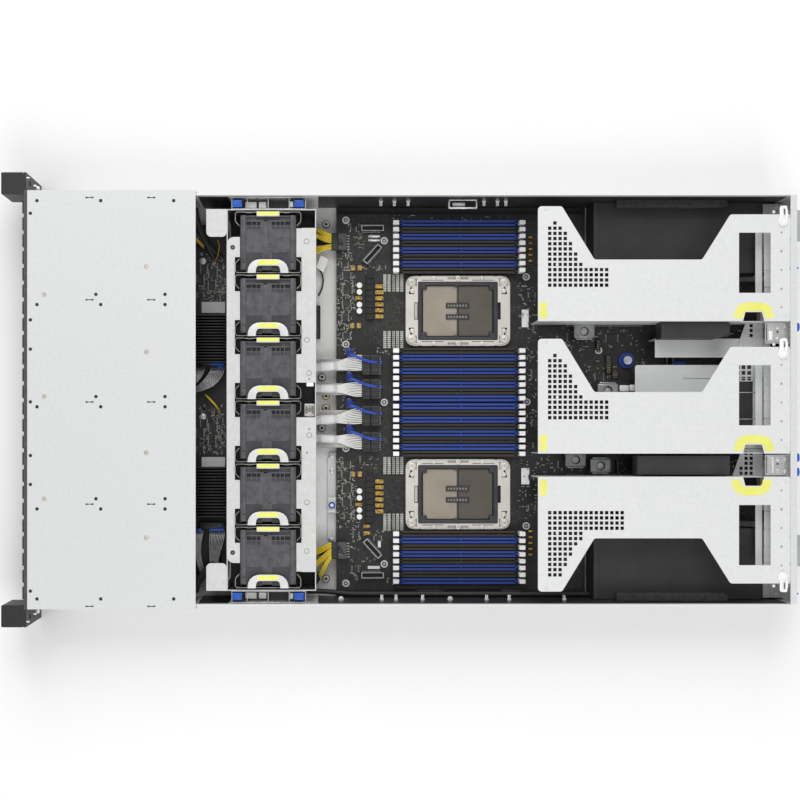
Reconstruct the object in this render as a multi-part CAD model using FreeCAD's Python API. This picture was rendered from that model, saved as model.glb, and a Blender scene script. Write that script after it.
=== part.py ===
import FreeCAD, Part
import math
import os

# Two-unit rack server with its rear lid off. Millimetres, +Z up, front towards -Y,
# origin on the floor plane at the middle of the whole length and width.

V = FreeCAD.Vector

# Whole body
front_width = 444.6
ear_reach = 19.0
unit_height = 88.1
body_depth = 844.5
handle_reach = 20.0
rack_width = front_width + 2 * ear_reach
y_front = -(body_depth + handle_reach) / 2
y_rear = y_front + body_depth

# The front cover ends here, and the fan cage and main board keep their places behind it
y_step = -226.05

# Sheet metal tub and front cover
sheet = 1.2
tub_width = 436.6
slip = 0.3
ear_depth = 24.0
frame_depth = 3.7
rear_lip = 6.9
cover_flange = 22.0
y_face = y_front + ear_depth
y_cover = y_face + frame_depth
tub_top = unit_height - sheet
tub_half = tub_width / 2
tub_inside = tub_half - sheet
front_half = front_width / 2 - sheet - slip

# Holes pressed through the front cover, in three drive banks
cover_hole = 1.9
cover_screw = 2.2
bank_pitch = 108.4
bank_offset = -3.4
tie_offset = 2.3
tie_half = 4.2
tie_end = 1.1
tie_neck = 0.45

# Drive cage, trays and levers
bank_count = 3
bank_bays = 8
bay_margin = 7.5
divider = 0.6
cage_sheet = 1.0
tray_gap = 1.3
tray_wall = 9.0
rail_height = 6.2
tray_slip = 0.3
drive_inset = 41.0
backplane_gap = 6.0
bridge_room = 25.2
board_thick = 2.4
lever_thick = 4.2
lever_pivot = 7.0
lever_length = 70.0
bay_total = bank_count * bank_bays
bay_span = front_width - 2 * bay_margin
bay_pitch = bay_span / bay_total
tray_width = bay_pitch - tray_gap
drive_thick = tray_width - 1.6
lever_width = tray_width - 2.6
cage_floor = sheet + cage_sheet
cage_top = tub_top - cage_sheet
tray_low = cage_floor + tray_slip
tray_high = cage_top - tray_slip
y_tray = y_face + 1.0
y_backplane = y_step - bridge_room
tray_length = y_backplane - backplane_gap - y_tray
drive_length = tray_length - tray_wall - drive_inset

# Rack ears
ear_overlap = 4.5
ear_flange = 2.5
ear_handle_low = 34.0
rack_hole_inset = 8.75
rack_hole_pitch = rack_width - 2 * rack_hole_inset
rack_hole_low = 22.225 - (2 * 44.45 - unit_height) / 2
rack_hole_rise = 44.45
rack_hole = 3.4
driver_hole = 5.0
button_radius = 3.4
button_gap = 0.3
button_depth = 3.0
button_travel = 0.9
power_button_z = 52.0
id_button_z = 42.0

# Fan cage and fan modules
fan_count = 6
fan_pitch = 67.0
fan_y = -149.3
fan_width = 59.2
fan_depth = 59.6
fan_low = 20.0
fan_high = 82.0
fan_bore = 28.4
rotor_radius = 27.6
hub_radius = 12.5
motor_length = 14.0
shaft_radius = 2.0
shaft_gap = 0.05
blade_count = 7
bracket_half = 35.2
bracket_reach = 32.8
bracket_sheet = 1.0
bracket_top = 86.0
bar_length = 24.4
bar_width = 5.3
arch_length = 43.9
arch_width = 14.7
arch_hole_length = 24.3
arch_hole_width = 7.9
cage_high = 81.0
wall_front = -193.5
wall_rear = -98.3
fan_opening = 54.0
leg_gap = 3.0
shelf_low = fan_low - slip - cage_sheet
end_plate = 203.3
strip_front = 173.6
strip_corner = 8.0
strip_rear = 183.2
strip_gap = 18.5
tongue_width = 30.6
tab_length = 29.4
tab_corner = 5.0
tab_front = -215.2
channel_front = -189.3
channel_rear = -109.0
channel_shelf = 66.0
grip_length = 10.1
grip_width = 7.8
grip_top = 80.0

# Boards
standoff_top = 9.6
board_top = standoff_top + board_thick
board_front = -75.9
board_left = -207.8
board_right = 211.6
board_step = y_rear - 212.25
tongue_half = 133.0
tongue_rear = y_rear - 8.25

# Memory slots
slot_pitch = 7.48
slot_width = 6.3
slot_front = -5.5
slot_rear = 123.3
slot_height = 12.0
slot_groove = 1.8
slot_groove_depth = 4.0
slot_foot = 8.0
slot_foot_height = 1.4
latch_width = 4.9
latch_height = 18.0
latch_offset = 4.7
latch_pivot_rise = 4.0
group_starts = (-196.4, -55.5, 5.6, 146.1)
group_blue_first = (True, False, True, False)
group_size = 8

# Processor sockets
socket_x = (-99.9, 102.8)
socket_y = 58.4
socket_width = 66.0
socket_length = 88.0
socket_height = 7.0
socket_wall = 2.4
contact_height = 4.0
frame_width = 77.7
frame_length = 117.0
frame_low = 2.0
frame_high = 8.0
frame_corner = 8.0

# Rear risers
riser_width = 122.0
riser_length = 267.5
riser_front = y_rear - 7.25 - riser_length
riser_head = 25.5
riser_waist = 65.4
riser_waist_span = (60.0, riser_length - 93.0)
riser_tail = 113.4
riser_tail_start = riser_length - 63.0
riser_window = ((30.0, 94.0), (riser_length - 53.9, riser_length - 20.3))
riser_top = 85.0
riser_sheet = 1.0
riser_edges = (-83.7, 57.1, 81.7)
riser_sides = (-1, -1, 1)
thumb_inset = 4.6
thumb_radius = 4.4
thumb_length = 10.0
thumb_collar = 2.0
thumb_z = 60.0
perforation = 3.7
perforation_pitch = 5.5
perforation_first = 12.5
perforation_row = 38.2
notch_depth = 9.6
notch_length = 22.7
notch_centre = 229.2
riser_latch_width = 10.6
riser_latch_length = 17.4
riser_latch_v = riser_length - 7.5
riser_latch_u = 105.8
riser_low = 46.0
card_thick = 1.6
slot_cover_height = 17.6
slot_cover_pitch = 18.6

# Power supplies
psu_width = 73.5
psu_height = 40.0
psu_length = 185.0
psu_low = 2.6
psu_x = 178.0
psu_slip = 0.4
inlet_width = 27.5
inlet_height = 20.0
inlet_depth = 14.0
handle_bar = 4.0
handle_span = 34.0

# Adaptor module and its bay
module_left = -66.0
module_width = 76.0
module_length = 115.0
module_low = 14.0
module_height = 11.0
bay_top = 45.0
bay_plates_x = ((-38.9, 52.0), (-67.6, -47.1))
bay_rear = y_rear - 16.25
bay_wide_front = y_rear - 163.25
bay_narrow_front = y_rear - 141.55


def block(x, y, z):
    """A box between (low, high) pairs, in either order."""
    lows = [min(pair) for pair in (x, y, z)]
    spans = [abs(pair[1] - pair[0]) for pair in (x, y, z)]
    return Part.makeBox(spans[0], spans[1], spans[2], V(*lows))


def post(x, y, z, radius):
    """An upright round post between two heights."""
    return Part.makeCylinder(radius, z[1] - z[0], V(x, y, z[0]))


def rod(x, z, y, radius):
    """A round rod along the server's length."""
    return Part.makeCylinder(radius, y[1] - y[0], V(x, y[0], z), V(0, 1, 0))


def outline(points, z):
    """A flat plate of the given (x, y) outline between two heights."""
    corners = [V(x, y, z[0]) for x, y in points]
    face = Part.Face(Part.makePolygon(corners + corners[:1]))
    return face.extrude(V(0, 0, z[1] - z[0]))


def profile(points, x):
    """A bar of the given (y, z) section between two x places."""
    corners = [V(x[0], y, z) for y, z in points]
    face = Part.Face(Part.makePolygon(corners + corners[:1]))
    return face.extrude(V(x[1] - x[0], 0, 0))


def fuse(parts):
    """One clean solid from several that touch."""
    return parts[0].multiFuse(parts[1:]).removeSplitter()


def rounded(shape, radius, axis, picks=None):
    """Rounds the edges that run along an axis, all of them or those that picks accepts."""
    chosen = []
    for edge in shape.Edges:
        if len(edge.Vertexes) != 2 or not isinstance(edge.Curve, Part.Line):
            continue
        along = edge.Vertexes[1].Point - edge.Vertexes[0].Point
        if along.cross(axis).Length < 1e-6 and (picks is None or picks(edge.CenterOfMass)):
            chosen.append(edge)
    return shape.makeFillet(radius, chosen)


def write(name, parts):
    solids = parts if isinstance(parts, list) else [parts]
    Part.makeCompound(solids).exportStep(f"parts/{name}.step")


UP = V(0, 0, 1)
ALONG = V(0, 1, 0)
ACROSS = V(1, 0, 0)

# Sheet metal tub

rear_openings = {
    "left_psu": ((-psu_x - psu_width / 2 - psu_slip, -psu_x + psu_width / 2 + psu_slip),
                 (psu_low - psu_slip, psu_low + psu_height + psu_slip)),
    "right_psu": ((psu_x - psu_width / 2 - psu_slip, psu_x + psu_width / 2 + psu_slip),
                  (psu_low - psu_slip, psu_low + psu_height + psu_slip)),
    "module": ((module_left - psu_slip, module_left + module_width + psu_slip),
               (module_low - psu_slip, module_low + module_height + psu_slip)),
}
port_row = (
    # centre x, width, height of each port opening over the board
    (-112.0, 16.4, 13.8),
    (-90.0, 16.4, 13.8),
    (30.0, 14.6, 15.4),
    (50.0, 14.6, 15.4),
    (80.0, 30.8, 12.6),
    (112.0, 16.4, 13.8),
)


def tub_section(half, y):
    """A folded sheet: floor and two upright walls."""
    walls = [block((side * (half - sheet), side * half), y, (0, tub_top)) for side in (-1, 1)]
    return fuse([block((-half, half), y, (0, sheet))] + walls)


def chassis_tub():
    """The wide front section and the narrower rear one, with the end flanges that join their walls."""
    flange_y = (y_step - sheet, y_step)
    flanges = [block((side * tub_inside, side * front_half), flange_y, (sheet, tub_top)) for side in (-1, 1)]
    front_floor = block((-front_half, front_half), flange_y, (0, sheet))
    front = fuse([tub_section(front_half, (y_cover, y_step - sheet)), front_floor])
    return [front] + flanges + [tub_section(tub_half, (y_step, y_rear))]


def rear_panel():
    """The rear wall with its folded top edge, set between the tub's walls on its floor."""
    panel = block((-tub_inside, tub_inside), (y_rear - sheet, y_rear), (sheet, tub_top))
    lip = block((-tub_inside, tub_inside), (y_rear - rear_lip, y_rear), (tub_top - sheet, tub_top))
    wall = fuse([panel, lip])
    reach = (y_rear - 2 * sheet, y_rear + sheet)
    cuts = [block(x, reach, z) for x, z in rear_openings.values()]
    for centre, width, height in port_row:
        cuts.append(block((centre - width / 2, centre + width / 2), reach,
                          (board_top, board_top + height)))
    for edge, side in zip(riser_edges, riser_sides):
        cuts.append(block((edge + side * 2 * riser_sheet, edge + side * (riser_width - notch_depth)),
                          reach, (riser_low, tub_top - 2 * sheet)))
    return wall.cut(Part.makeCompound(cuts))


# Screws of the cover and thumb screws of the rear panel
cover_screw_rows = ((y_face + 21.4, (-111.8, -3.5, 105.1)), (y_step - 52.1, (-141.2, -50.8, 56.1, 146.3)))
cover_screw_places = [(x, y) for y, row in cover_screw_rows for x in row]


def cover_screws():
    heads = []
    for x, y in cover_screw_places:
        head = post(x, y, (tub_top, unit_height - 0.2), cover_screw)
        drive = [block((x - 1.4, x + 1.4), (y - 0.25, y + 0.25), (unit_height - 0.7, unit_height)),
                 block((x - 0.25, x + 0.25), (y - 1.4, y + 1.4), (unit_height - 0.7, unit_height))]
        heads.append(head.cut(Part.makeCompound(drive)))
    return heads


def thumb_screws():
    """Plastic-headed screws outside the rear panel, one by each riser, with a collar and a driver slot."""
    screws = []
    for edge, side in zip(riser_edges, riser_sides):
        x = edge - side * thumb_inset
        collar = rod(x, thumb_z, (y_rear, y_rear + thumb_collar), thumb_radius - 1)
        head = rod(x, thumb_z, (y_rear + thumb_collar, y_rear + thumb_length), thumb_radius)
        slot = block((x - 2, x + 2), (y_rear + thumb_length - 1.5, y_rear + thumb_length + 1),
                     (thumb_z - 0.5, thumb_z + 0.5))
        screws.append(fuse([collar, head]).cut(slot))
    return screws


def front_cover():
    top = block((-front_width / 2, front_width / 2), (y_cover, y_step), (tub_top, unit_height))
    flanges = [block((side * (front_width / 2 - sheet), side * front_width / 2), (y_cover, y_step),
                     (unit_height - cover_flange, unit_height)) for side in (-1, 1)]
    cover = fuse([top] + flanges)
    span = (tub_top - sheet, unit_height + sheet)
    cuts = []
    for bank in range(-1, bank_count - 1):
        x = bank_offset + bank * bank_pitch
        for offset, places in ((0.0, (y_face + 21.4, y_face + 76.5, y_step - 32.4)),
                               (10.8, (y_face + 14.0, y_face + 81.6, y_step - 32.4))):
            cuts += [post(x + offset, place, span, cover_hole) for place in places]
    for x in (-197.8, -84.8, -53.7, 2.2, 59.1, 89.8, 202.9):
        cuts.append(post(x, y_face + 7.0, span, cover_hole))
    for x in (-211.2, 211.2):
        cuts += [post(x, place, span, cover_hole) for place in (y_face + 14.0, y_face + 81.6, y_step - 23.2)]
    cuts += [post(x, y, span, cover_screw + slip) for x, y in cover_screw_places]
    for row in range(-2, bank_count):
        x = tie_offset + row * bank_pitch
        for y in (y_face + 69.8, y_step - 47.0):
            bow = [(x - tie_end, y - tie_half), (x + tie_end, y - tie_half),
                   (x + tie_neck, y - tie_end), (x + tie_neck, y + tie_end),
                   (x + tie_end, y + tie_half), (x - tie_end, y + tie_half),
                   (x - tie_neck, y + tie_end), (x - tie_neck, y - tie_end)]
            cuts.append(outline(bow, span))
    return cover.cut(Part.makeCompound(cuts))


# Drive cage, trays and levers


def bay_x(index):
    return (index - (bay_total - 1) / 2) * bay_pitch


def drive_cage():
    half = bay_span / 2 + divider / 2
    depth = (y_cover, y_backplane)
    parts = [block((-half, half), depth, (sheet, cage_floor)),
             block((-half, half), depth, (cage_top, tub_top))]
    for n in range(bay_total + 1):
        x = bay_x(n) - bay_pitch / 2
        parts.append(block((x - divider / 2, x + divider / 2), depth, (cage_floor, cage_top)))
    face = (y_face, y_cover)
    inner = half - divider
    parts += [block((-inner, inner), face, z) for z in ((0, cage_floor), (cage_top, unit_height))]
    parts += [block((side * inner, side * front_width / 2), face, (0, unit_height)) for side in (-1, 1)]
    return parts


def tray(x):
    """A drive carrier: a tall face with a rail above and below the drive."""
    back = y_tray + tray_length
    section = [(y_tray, tray_low), (back, tray_low), (back, tray_low + rail_height),
               (y_tray + tray_wall, tray_low + rail_height), (y_tray + tray_wall, tray_high - rail_height),
               (back, tray_high - rail_height), (back, tray_high), (y_tray, tray_high)]
    carrier = profile(section, (x - tray_width / 2, x + tray_width / 2))
    lug_y = (y_tray - slip - lever_thick, y_tray)
    lugs = [block((x + sign * (lever_width / 2 + slip), x + sign * tray_width / 2), lug_y,
                  (tray_low, tray_low + lever_pivot + 5)) for sign in (-1, 1)]
    carrier = fuse([carrier] + lugs)
    drive = block((x - drive_thick / 2, x + drive_thick / 2), (back - drive_length, back),
                  (tray_low + rail_height, tray_high - rail_height))
    return [carrier, drive]


def lever(x):
    """The tall release lever on a tray's face, turning on its lower end."""
    y = y_tray - lever_thick / 2 - slip
    z = tray_low + lever_pivot
    half = lever_thick / 2
    corner = half / 2
    section = [(y - half, z - corner), (y - corner, z - half), (y + corner, z - half), (y + half, z - corner),
               (y + half, z + lever_length - half), (y + corner, z + lever_length),
               (y - half, z + lever_length), (y - half - corner, z + lever_length / 2)]
    return profile(section, (x - lever_width / 2, x + lever_width / 2))


def tray_bank(bank):
    parts = []
    for n in range(bank_bays):
        parts += tray(bay_x(bank * bank_bays + n))
    return parts


def lever_bank(bank):
    return [lever(bay_x(bank * bank_bays + n)) for n in range(bank_bays)]


def drive_backplane():
    half = bay_span / 2 - bay_pitch / 2
    low = cage_floor + 4
    panel = block((-half, half), (y_backplane, y_backplane + board_thick), (low, cage_top - 4))
    vents = [block((bay_x(n) + bay_pitch / 2 - 6, bay_x(n) + bay_pitch / 2 + 6),
                   (y_backplane - 1, y_backplane + board_thick + 1), (cage_top - 24, cage_top - 14))
             for n in range(1, bay_total - 1, 2)]
    parts = [panel.cut(Part.makeCompound(vents))]
    for n in range(bay_total):
        parts.append(block((bay_x(n) - 3.2, bay_x(n) + 3.2), (y_tray + tray_length + slip, y_backplane),
                           (cage_floor + 12, cage_floor + 44)))
    return parts


# Rack ears and their buttons


def ear(side, with_buttons):
    outer = rack_width / 2
    flange = block((side * front_width / 2, side * outer), (y_face, y_face + ear_flange), (0, unit_height))
    leg = block((side * front_half, side * (front_width / 2)), (y_cover, y_cover + 14),
                (8, unit_height - cover_flange - slip))
    foot = block((side * front_width / 2, side * (front_width / 2 + ear_flange)),
                 (y_face, y_cover + 14), (8, unit_height - cover_flange - slip))
    grip_x = (side * (front_width / 2 - ear_overlap), side * outer)
    grip = block(grip_x, (y_front, y_face), (ear_handle_low, unit_height))
    grip = rounded(grip, 1.5, UP)
    shape = fuse([flange, foot, leg, grip])
    x = side * rack_hole_pitch / 2
    cuts = [rod(x, rack_hole_low, (y_face - 1, y_face + ear_flange + 1), rack_hole),
            rod(x, rack_hole_low + rack_hole_rise, (y_face - 1, y_face + ear_flange + 1), rack_hole),
            rod(x, rack_hole_low + rack_hole_rise, (y_front - 1, y_face), driver_hole)]
    if with_buttons:
        cuts += [rod(x, z, (y_front - 1, y_front + button_depth), button_radius + button_gap)
                 for z in (power_button_z, id_button_z)]
    return shape.cut(Part.makeCompound(cuts))


def ear_button(z):
    y = (y_front, y_front + button_depth - button_travel - slip)
    return rod(rack_hole_pitch / 2, z, y, button_radius)


# Fan cage


def fan_x(index):
    return (index - (fan_count - 1) / 2) * fan_pitch


def fan_wall(y):
    """One upright wall of the fan cage with an air opening for each fan and legs below."""
    wall = block((-end_plate + cage_sheet, end_plate - cage_sheet), y, (sheet, cage_high - cage_sheet))
    reach = (y[0] - 1, y[1] + 1)
    middle = (fan_low + fan_high) / 2
    cuts = []
    for n in range(fan_count):
        x = (fan_x(n) - fan_opening / 2, fan_x(n) + fan_opening / 2)
        cuts.append(block(x, reach, (middle - fan_opening / 2, middle + fan_opening / 2)))
        cuts.append(block(x, reach, (0, shelf_low - leg_gap)))
    return wall.cut(Part.makeCompound(cuts))


def fan_walls():
    return [fan_wall((wall_front, wall_front + cage_sheet)), fan_wall((wall_rear - cage_sheet, wall_rear))]


def tongued_strip(x, far_edge, side):
    """A top strip before (-1) or behind (1) the fans, with a tongue towards the middle of each."""
    top = (cage_high - cage_sheet, cage_high)
    base_edge = fan_y + side * (bracket_half + slip)
    parts = [block(x, (base_edge, far_edge), top)]
    for n in range(fan_count):
        low, high = fan_x(n) - tongue_width / 2, fan_x(n) + tongue_width / 2
        if min(x) < fan_x(n) < max(x):
            parts.append(block((max(low, min(x)), min(high, max(x))),
                               (fan_y + side * (fan_depth / 2 + slip), base_edge), top))
    return fuse(parts)


def fan_cage():
    top = (cage_high - cage_sheet, cage_high)
    front_strip = tongued_strip((-strip_front, strip_front), wall_front, -1)
    front_strip = rounded(front_strip, strip_corner, UP,
                          lambda p: abs(p.x) > strip_front - 1 and p.y < wall_front + 1)
    shelf = block((-end_plate + cage_sheet, end_plate - cage_sheet),
                  (wall_front + cage_sheet, wall_rear - cage_sheet), (shelf_low, shelf_low + cage_sheet))
    parts = [front_strip, tongued_strip((-strip_rear, -strip_gap), wall_rear, 1),
             tongued_strip((strip_gap, strip_rear), wall_rear, 1), shelf]
    for side in (-1, 1):
        plate_x = (side * (end_plate - cage_sheet), side * end_plate)
        parts.append(block(plate_x, (tab_front, wall_rear), (sheet, cage_high - cage_sheet)))
        tab = block((side * (end_plate - tab_length), side * end_plate), (tab_front, wall_front), top)
        parts.append(rounded(tab, tab_corner, UP, lambda p: abs(p.x) < end_plate - tab_length + 1))
        outer = (side * end_plate, side * (tub_inside - slip))
        parts.append(block(outer, (channel_front, channel_rear), (channel_shelf - cage_sheet, channel_shelf)))
        for y in (channel_front, channel_rear - cage_sheet):
            parts.append(block(outer, (y, y + cage_sheet), (sheet, channel_shelf - cage_sheet)))
    return parts


def cage_grips():
    parts = []
    for side in (-1, 1):
        x = side * (end_plate + 2.2)
        for y in (channel_front + 1.9, channel_rear - 2.4 - grip_length):
            parts.append(block((x, x + side * grip_width), (y, y + grip_length), (channel_shelf, grip_top)))
    return parts


# Fan modules


def fan_housing(x):
    half = fan_width / 2
    y = (fan_y - fan_depth / 2, fan_y + fan_depth / 2)
    middle = (fan_low + fan_high) / 2
    body = block((x - half, x + half), y, (fan_low, fan_high))
    bore = rod(x, middle, (y[0] - 1, y[1] + 1), fan_bore)
    motor_y = (y[1] - 4 - motor_length, y[1] - 4)
    motor = rod(x, middle, motor_y, hub_radius)
    struts = []
    for turn in (45, 135, 225, 315):
        strut = block((x - 1.2, x + 1.2), (y[1] - 8, y[1] - 4), (middle, middle + fan_bore + 1))
        strut.rotate(V(x, 0, middle), ALONG, turn)
        struts.append(strut)
    pockets = []
    for n in range(4):
        for sign in (-1, 1):
            centre = fan_y + sign * (5.6 + n * 5.2)
            pockets.append(block((x - half + 5.5, x - half + 11.5), (centre - 1.8, centre + 1.8),
                                 (fan_high - 0.9, fan_high + 1)))
    pockets.append(block((x - half - 1, x - half + 4), (fan_y - 24, fan_y + 24),
                         (fan_high - 1.6, fan_high + 1)))
    body = body.cut(Part.makeCompound([bore] + pockets))
    shape = fuse([body, motor] + struts)
    return shape.cut(rod(x, middle, (motor_y[0] - 1, motor_y[1] - 2), shaft_radius + shaft_gap))


def fan_bracket(x, side):
    """The side sheet of a module, with ends that fold in round the housing."""
    outer = x + side * bracket_reach
    inner = outer - side * bracket_sheet
    sheet_plate = block((inner, outer), (fan_y - bracket_half, fan_y + bracket_half), (fan_low, bracket_top))
    parts = [sheet_plate]
    for end in (-1, 1):
        y = fan_y + end * bracket_half
        parts.append(block((inner, x + side * (bracket_reach - 16)), (y, y - end * bracket_sheet),
                           (fan_high - 18, cage_high - 2 * cage_sheet)))
        parts.append(block((inner, x + side * (fan_width / 2)), (fan_y + end * 20, fan_y + end * 24),
                           (fan_low + 2, fan_low + 14)))
    return parts, inner, outer


def fan_module(index):
    x = fan_x(index)
    low_parts, low_inner, low_outer = fan_bracket(x, -1)
    bar_y = (fan_y - bar_length / 2, fan_y + bar_length / 2)
    low_parts.append(block((low_outer, low_outer + bar_width), bar_y, (bracket_top - bracket_sheet, bracket_top)))
    high_parts, high_inner, high_outer = fan_bracket(x, 1)
    arch = block((high_outer - arch_width, high_outer), (fan_y - arch_length / 2, fan_y + arch_length / 2),
                 (bracket_top - bracket_sheet, bracket_top))
    arch = rounded(arch, 9.0, UP, lambda p: p.x < high_outer - arch_width + 1)
    hole = block((high_inner - arch_hole_width, high_inner),
                 (fan_y - arch_hole_length / 2, fan_y + arch_hole_length / 2),
                 (bracket_top - 3, bracket_top + 1))
    hole = rounded(hole, 3.5, UP, lambda p: p.x < high_inner - arch_hole_width + 1)
    high_parts.append(arch.cut(hole))
    return [fan_housing(x), fuse(low_parts), fuse(high_parts)]


def fan_rotor(index):
    """Hub, shaft and swept blades, each blade turning from a steep root to a flat tip."""
    x = fan_x(index)
    middle = (fan_low + fan_high) / 2
    hub_y = (fan_y - 20, fan_y + fan_depth / 2 - 4 - motor_length - 0.5)
    hub = rod(x, middle, hub_y, hub_radius)
    shaft = rod(x, middle, (hub_y[1] - 1, hub_y[1] + 8), shaft_radius)
    parts = [hub, shaft]
    blade_y = (hub_y[0] + hub_y[1]) / 2
    for n in range(blade_count):
        sections = []
        for radius, pitch, chord in ((hub_radius - 1, 52, 15), (rotor_radius, 32, 20)):
            lean = math.radians(pitch)
            along = V(math.cos(lean), math.sin(lean), 0)
            thick = V(-math.sin(lean), math.cos(lean), 0)
            centre = V(x, blade_y, middle + math.sqrt(radius ** 2 - (chord * math.cos(lean) / 2) ** 2))
            corners = [centre + along * (a * chord / 2) + thick * (t * 0.6)
                       for a, t in ((-1, -1), (1, -1), (1, 1), (-1, 1))]
            sections.append(Part.makePolygon(corners + corners[:1]))
        blade = Part.makeLoft(sections, True, True)
        blade.rotate(V(x, 0, middle), ALONG, 360 * n / blade_count)
        parts.append(blade)
    return fuse(parts)


# Boards and what stands on them

bridge_half = 196.0

screw_places = ((-201.0, -65.4), (-178.3, -22.8), (-63.4, -65.4), (1.0, -22.8), (52.1, -65.4), (180.4, -22.8),
                (201.9, -65.4), (-138.2, 134.7), (0.5, 135.4), (138.2, 134.7), (-56.6, 215.0), (96.0, 300.0))


def motherboard():
    edge = [(board_left, board_front), (board_right, board_front), (board_right, board_step),
            (tongue_half, board_step), (tongue_half, tongue_rear), (-tongue_half, tongue_rear),
            (-tongue_half, board_step), (board_left, board_step)]
    return outline(edge, (standoff_top, board_top))


def standoffs():
    """Round board posts from the tub floor, each with a screw head over the board."""
    parts = []
    for x, y in screw_places:
        parts.append(post(x, y, (sheet, standoff_top), 3.0))
        parts.append(post(x, y, (board_top, board_top + 2.2), 4.0))
    return parts


def bridge_board():
    """The drive switch board behind the drives, held over the floor on two rails."""
    across = (-bridge_half, bridge_half)
    plate = block(across, (y_step - 22, tab_front + 18), (standoff_top, board_top))
    rails = [block(across, (y, y + 4), (sheet, standoff_top)) for y in (y_step - 20, tab_front + 10)]
    return [plate] + rails


sink_places = ((-94.1, -40.3), (72.3, 128.7))
sink_fins = 17
sink_base = 5.0
sink_height = 30.0


def bridge_heatsinks():
    parts = []
    y = (y_step - 9, tab_front + 17.5)
    for low, high in sink_places:
        pieces = [block((low, high), y, (board_top, board_top + sink_base))]
        pitch = (high - low) / sink_fins
        for n in range(sink_fins):
            fin = low + n * pitch
            pieces.append(block((fin, fin + pitch * 0.4), y,
                                (board_top + sink_base, board_top + sink_height)))
        parts.append(fuse(pieces))
    return parts


def slot_centres():
    """Place and colour of every memory slot: (x, is it blue)."""
    found = []
    for start, blue_first in zip(group_starts, group_blue_first):
        for n in range(group_size):
            found.append((start + n * slot_pitch, (n % 2 == 0) == blue_first))
    return found


def memory_slot(x):
    """A connector bar with its card groove and a low foot under each latch."""
    half = slot_width / 2
    groove = slot_groove / 2
    top = board_top + slot_height
    deep = top - slot_groove_depth
    bar = [(x - half, board_top), (x + half, board_top), (x + half, top), (x + groove, top),
           (x + groove, deep), (x - groove, deep), (x - groove, top), (x - half, top)]
    corners = [V(px, slot_front, pz) for px, pz in bar]
    body = Part.Face(Part.makePolygon(corners + corners[:1])).extrude(V(0, slot_rear - slot_front, 0))
    foot_z = (board_top, board_top + slot_foot_height)
    feet = [block((x - half, x + half), (slot_front - slot_foot, slot_front), foot_z),
            block((x - half, x + half), (slot_rear, slot_rear + slot_foot), foot_z)]
    return fuse([body] + feet)


def memory_slots(blue):
    return [memory_slot(x) for x, is_blue in slot_centres() if is_blue == blue]


def memory_latches(end):
    """The white latches at one end of all slots, which turn on one shared line."""
    y = (slot_front if end < 0 else slot_rear) + end * latch_offset
    z = board_top + latch_pivot_rise
    section = [(y - end * 3.3, z - 2.0), (y - end * 3.3, z + latch_height - 4), (y, z + latch_height - 2),
               (y + end * 3.9, z + latch_height - 2), (y + end * 3.9, z + 2.5), (y + end * 1.0, z - 2.0)]
    return [profile(section, (x - latch_width / 2, x + latch_width / 2)) for x, _ in slot_centres()]


def cpu_socket(x):
    """The contact housing: a shallow tray whose floor carries the contacts, split by a rib."""
    half_x, half_y = socket_width / 2, socket_length / 2
    body = block((x - half_x, x + half_x), (socket_y - half_y, socket_y + half_y),
                 (board_top, board_top + socket_height))
    room = block((x - half_x + socket_wall, x + half_x - socket_wall),
                 (socket_y - half_y + socket_wall, socket_y + half_y - socket_wall),
                 (board_top + contact_height, board_top + socket_height + 1))
    return body.cut(room)


def socket_frame(x):
    """The steel bolster round a socket, standing on four feet, with a post at each corner."""
    half_x, half_y = frame_width / 2, frame_length / 2
    z = (board_top + frame_low, board_top + frame_high)
    body = block((x - half_x, x + half_x), (socket_y - half_y, socket_y + half_y), z)
    body = rounded(body, frame_corner, UP)
    window = block((x - socket_width / 2 - slip, x + socket_width / 2 + slip),
                   (socket_y - socket_length / 2 - slip, socket_y + socket_length / 2 + slip),
                   (board_top, board_top + frame_high + 1))
    body = body.cut(window)
    parts = [body]
    for sx in (-1, 1):
        for sy in (-1, 1):
            parts.append(post(x + sx * (half_x - 7), socket_y + sy * (half_y - 7),
                              (board_top, board_top + frame_high + 3), 3.2))
    return fuse(parts)


inductor_pitch = 6.85
choke_column = (-43.7, -34.9)
choke_pitch = 6.6
capacitor_y = -50.7
capacitor_offsets = (-15.5, -8.1, 5.9, 12.9)


def board_parts():
    """Chokes, inductors, capacitors and larger chips of both processor supplies."""
    parts = []
    for centre in socket_x:
        for n in range(8):
            low = centre - 39.0 + n * choke_pitch
            parts.append(block((low, low + choke_pitch - 0.6), choke_column, (board_top, board_top + 5.5)))
        for n in range(6):
            low = centre - 29.5 + n * inductor_pitch
            parts.append(block((low, low + 4.6), (-32.6, -24.2), (board_top, board_top + 4.5)))
        for offset in capacitor_offsets:
            parts.append(post(centre + offset - 12.0, capacitor_y, (board_top, board_top + 8.0), 3.0))
    for x, y, width, length, height in (
            (-2.0, 160.0, 26.0, 26.0, 3.0), (-30.0, 190.0, 12.0, 12.0, 2.0), (20.0, 230.0, 17.0, 17.0, 2.2),
            (-110.0, 165.0, 14.0, 20.0, 3.0), (112.0, 165.0, 14.0, 20.0, 3.0),
            (60.0, 185.0, 10.0, 10.0, 2.0)):
        parts.append(block((x, x + width), (y, y + length), (board_top, board_top + height)))
    return parts


plug_rows = (-40.0, -13.4, 16.1, 44.7)
plug_width = 22.0
power_places = (-176.5, 165.0)


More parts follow.
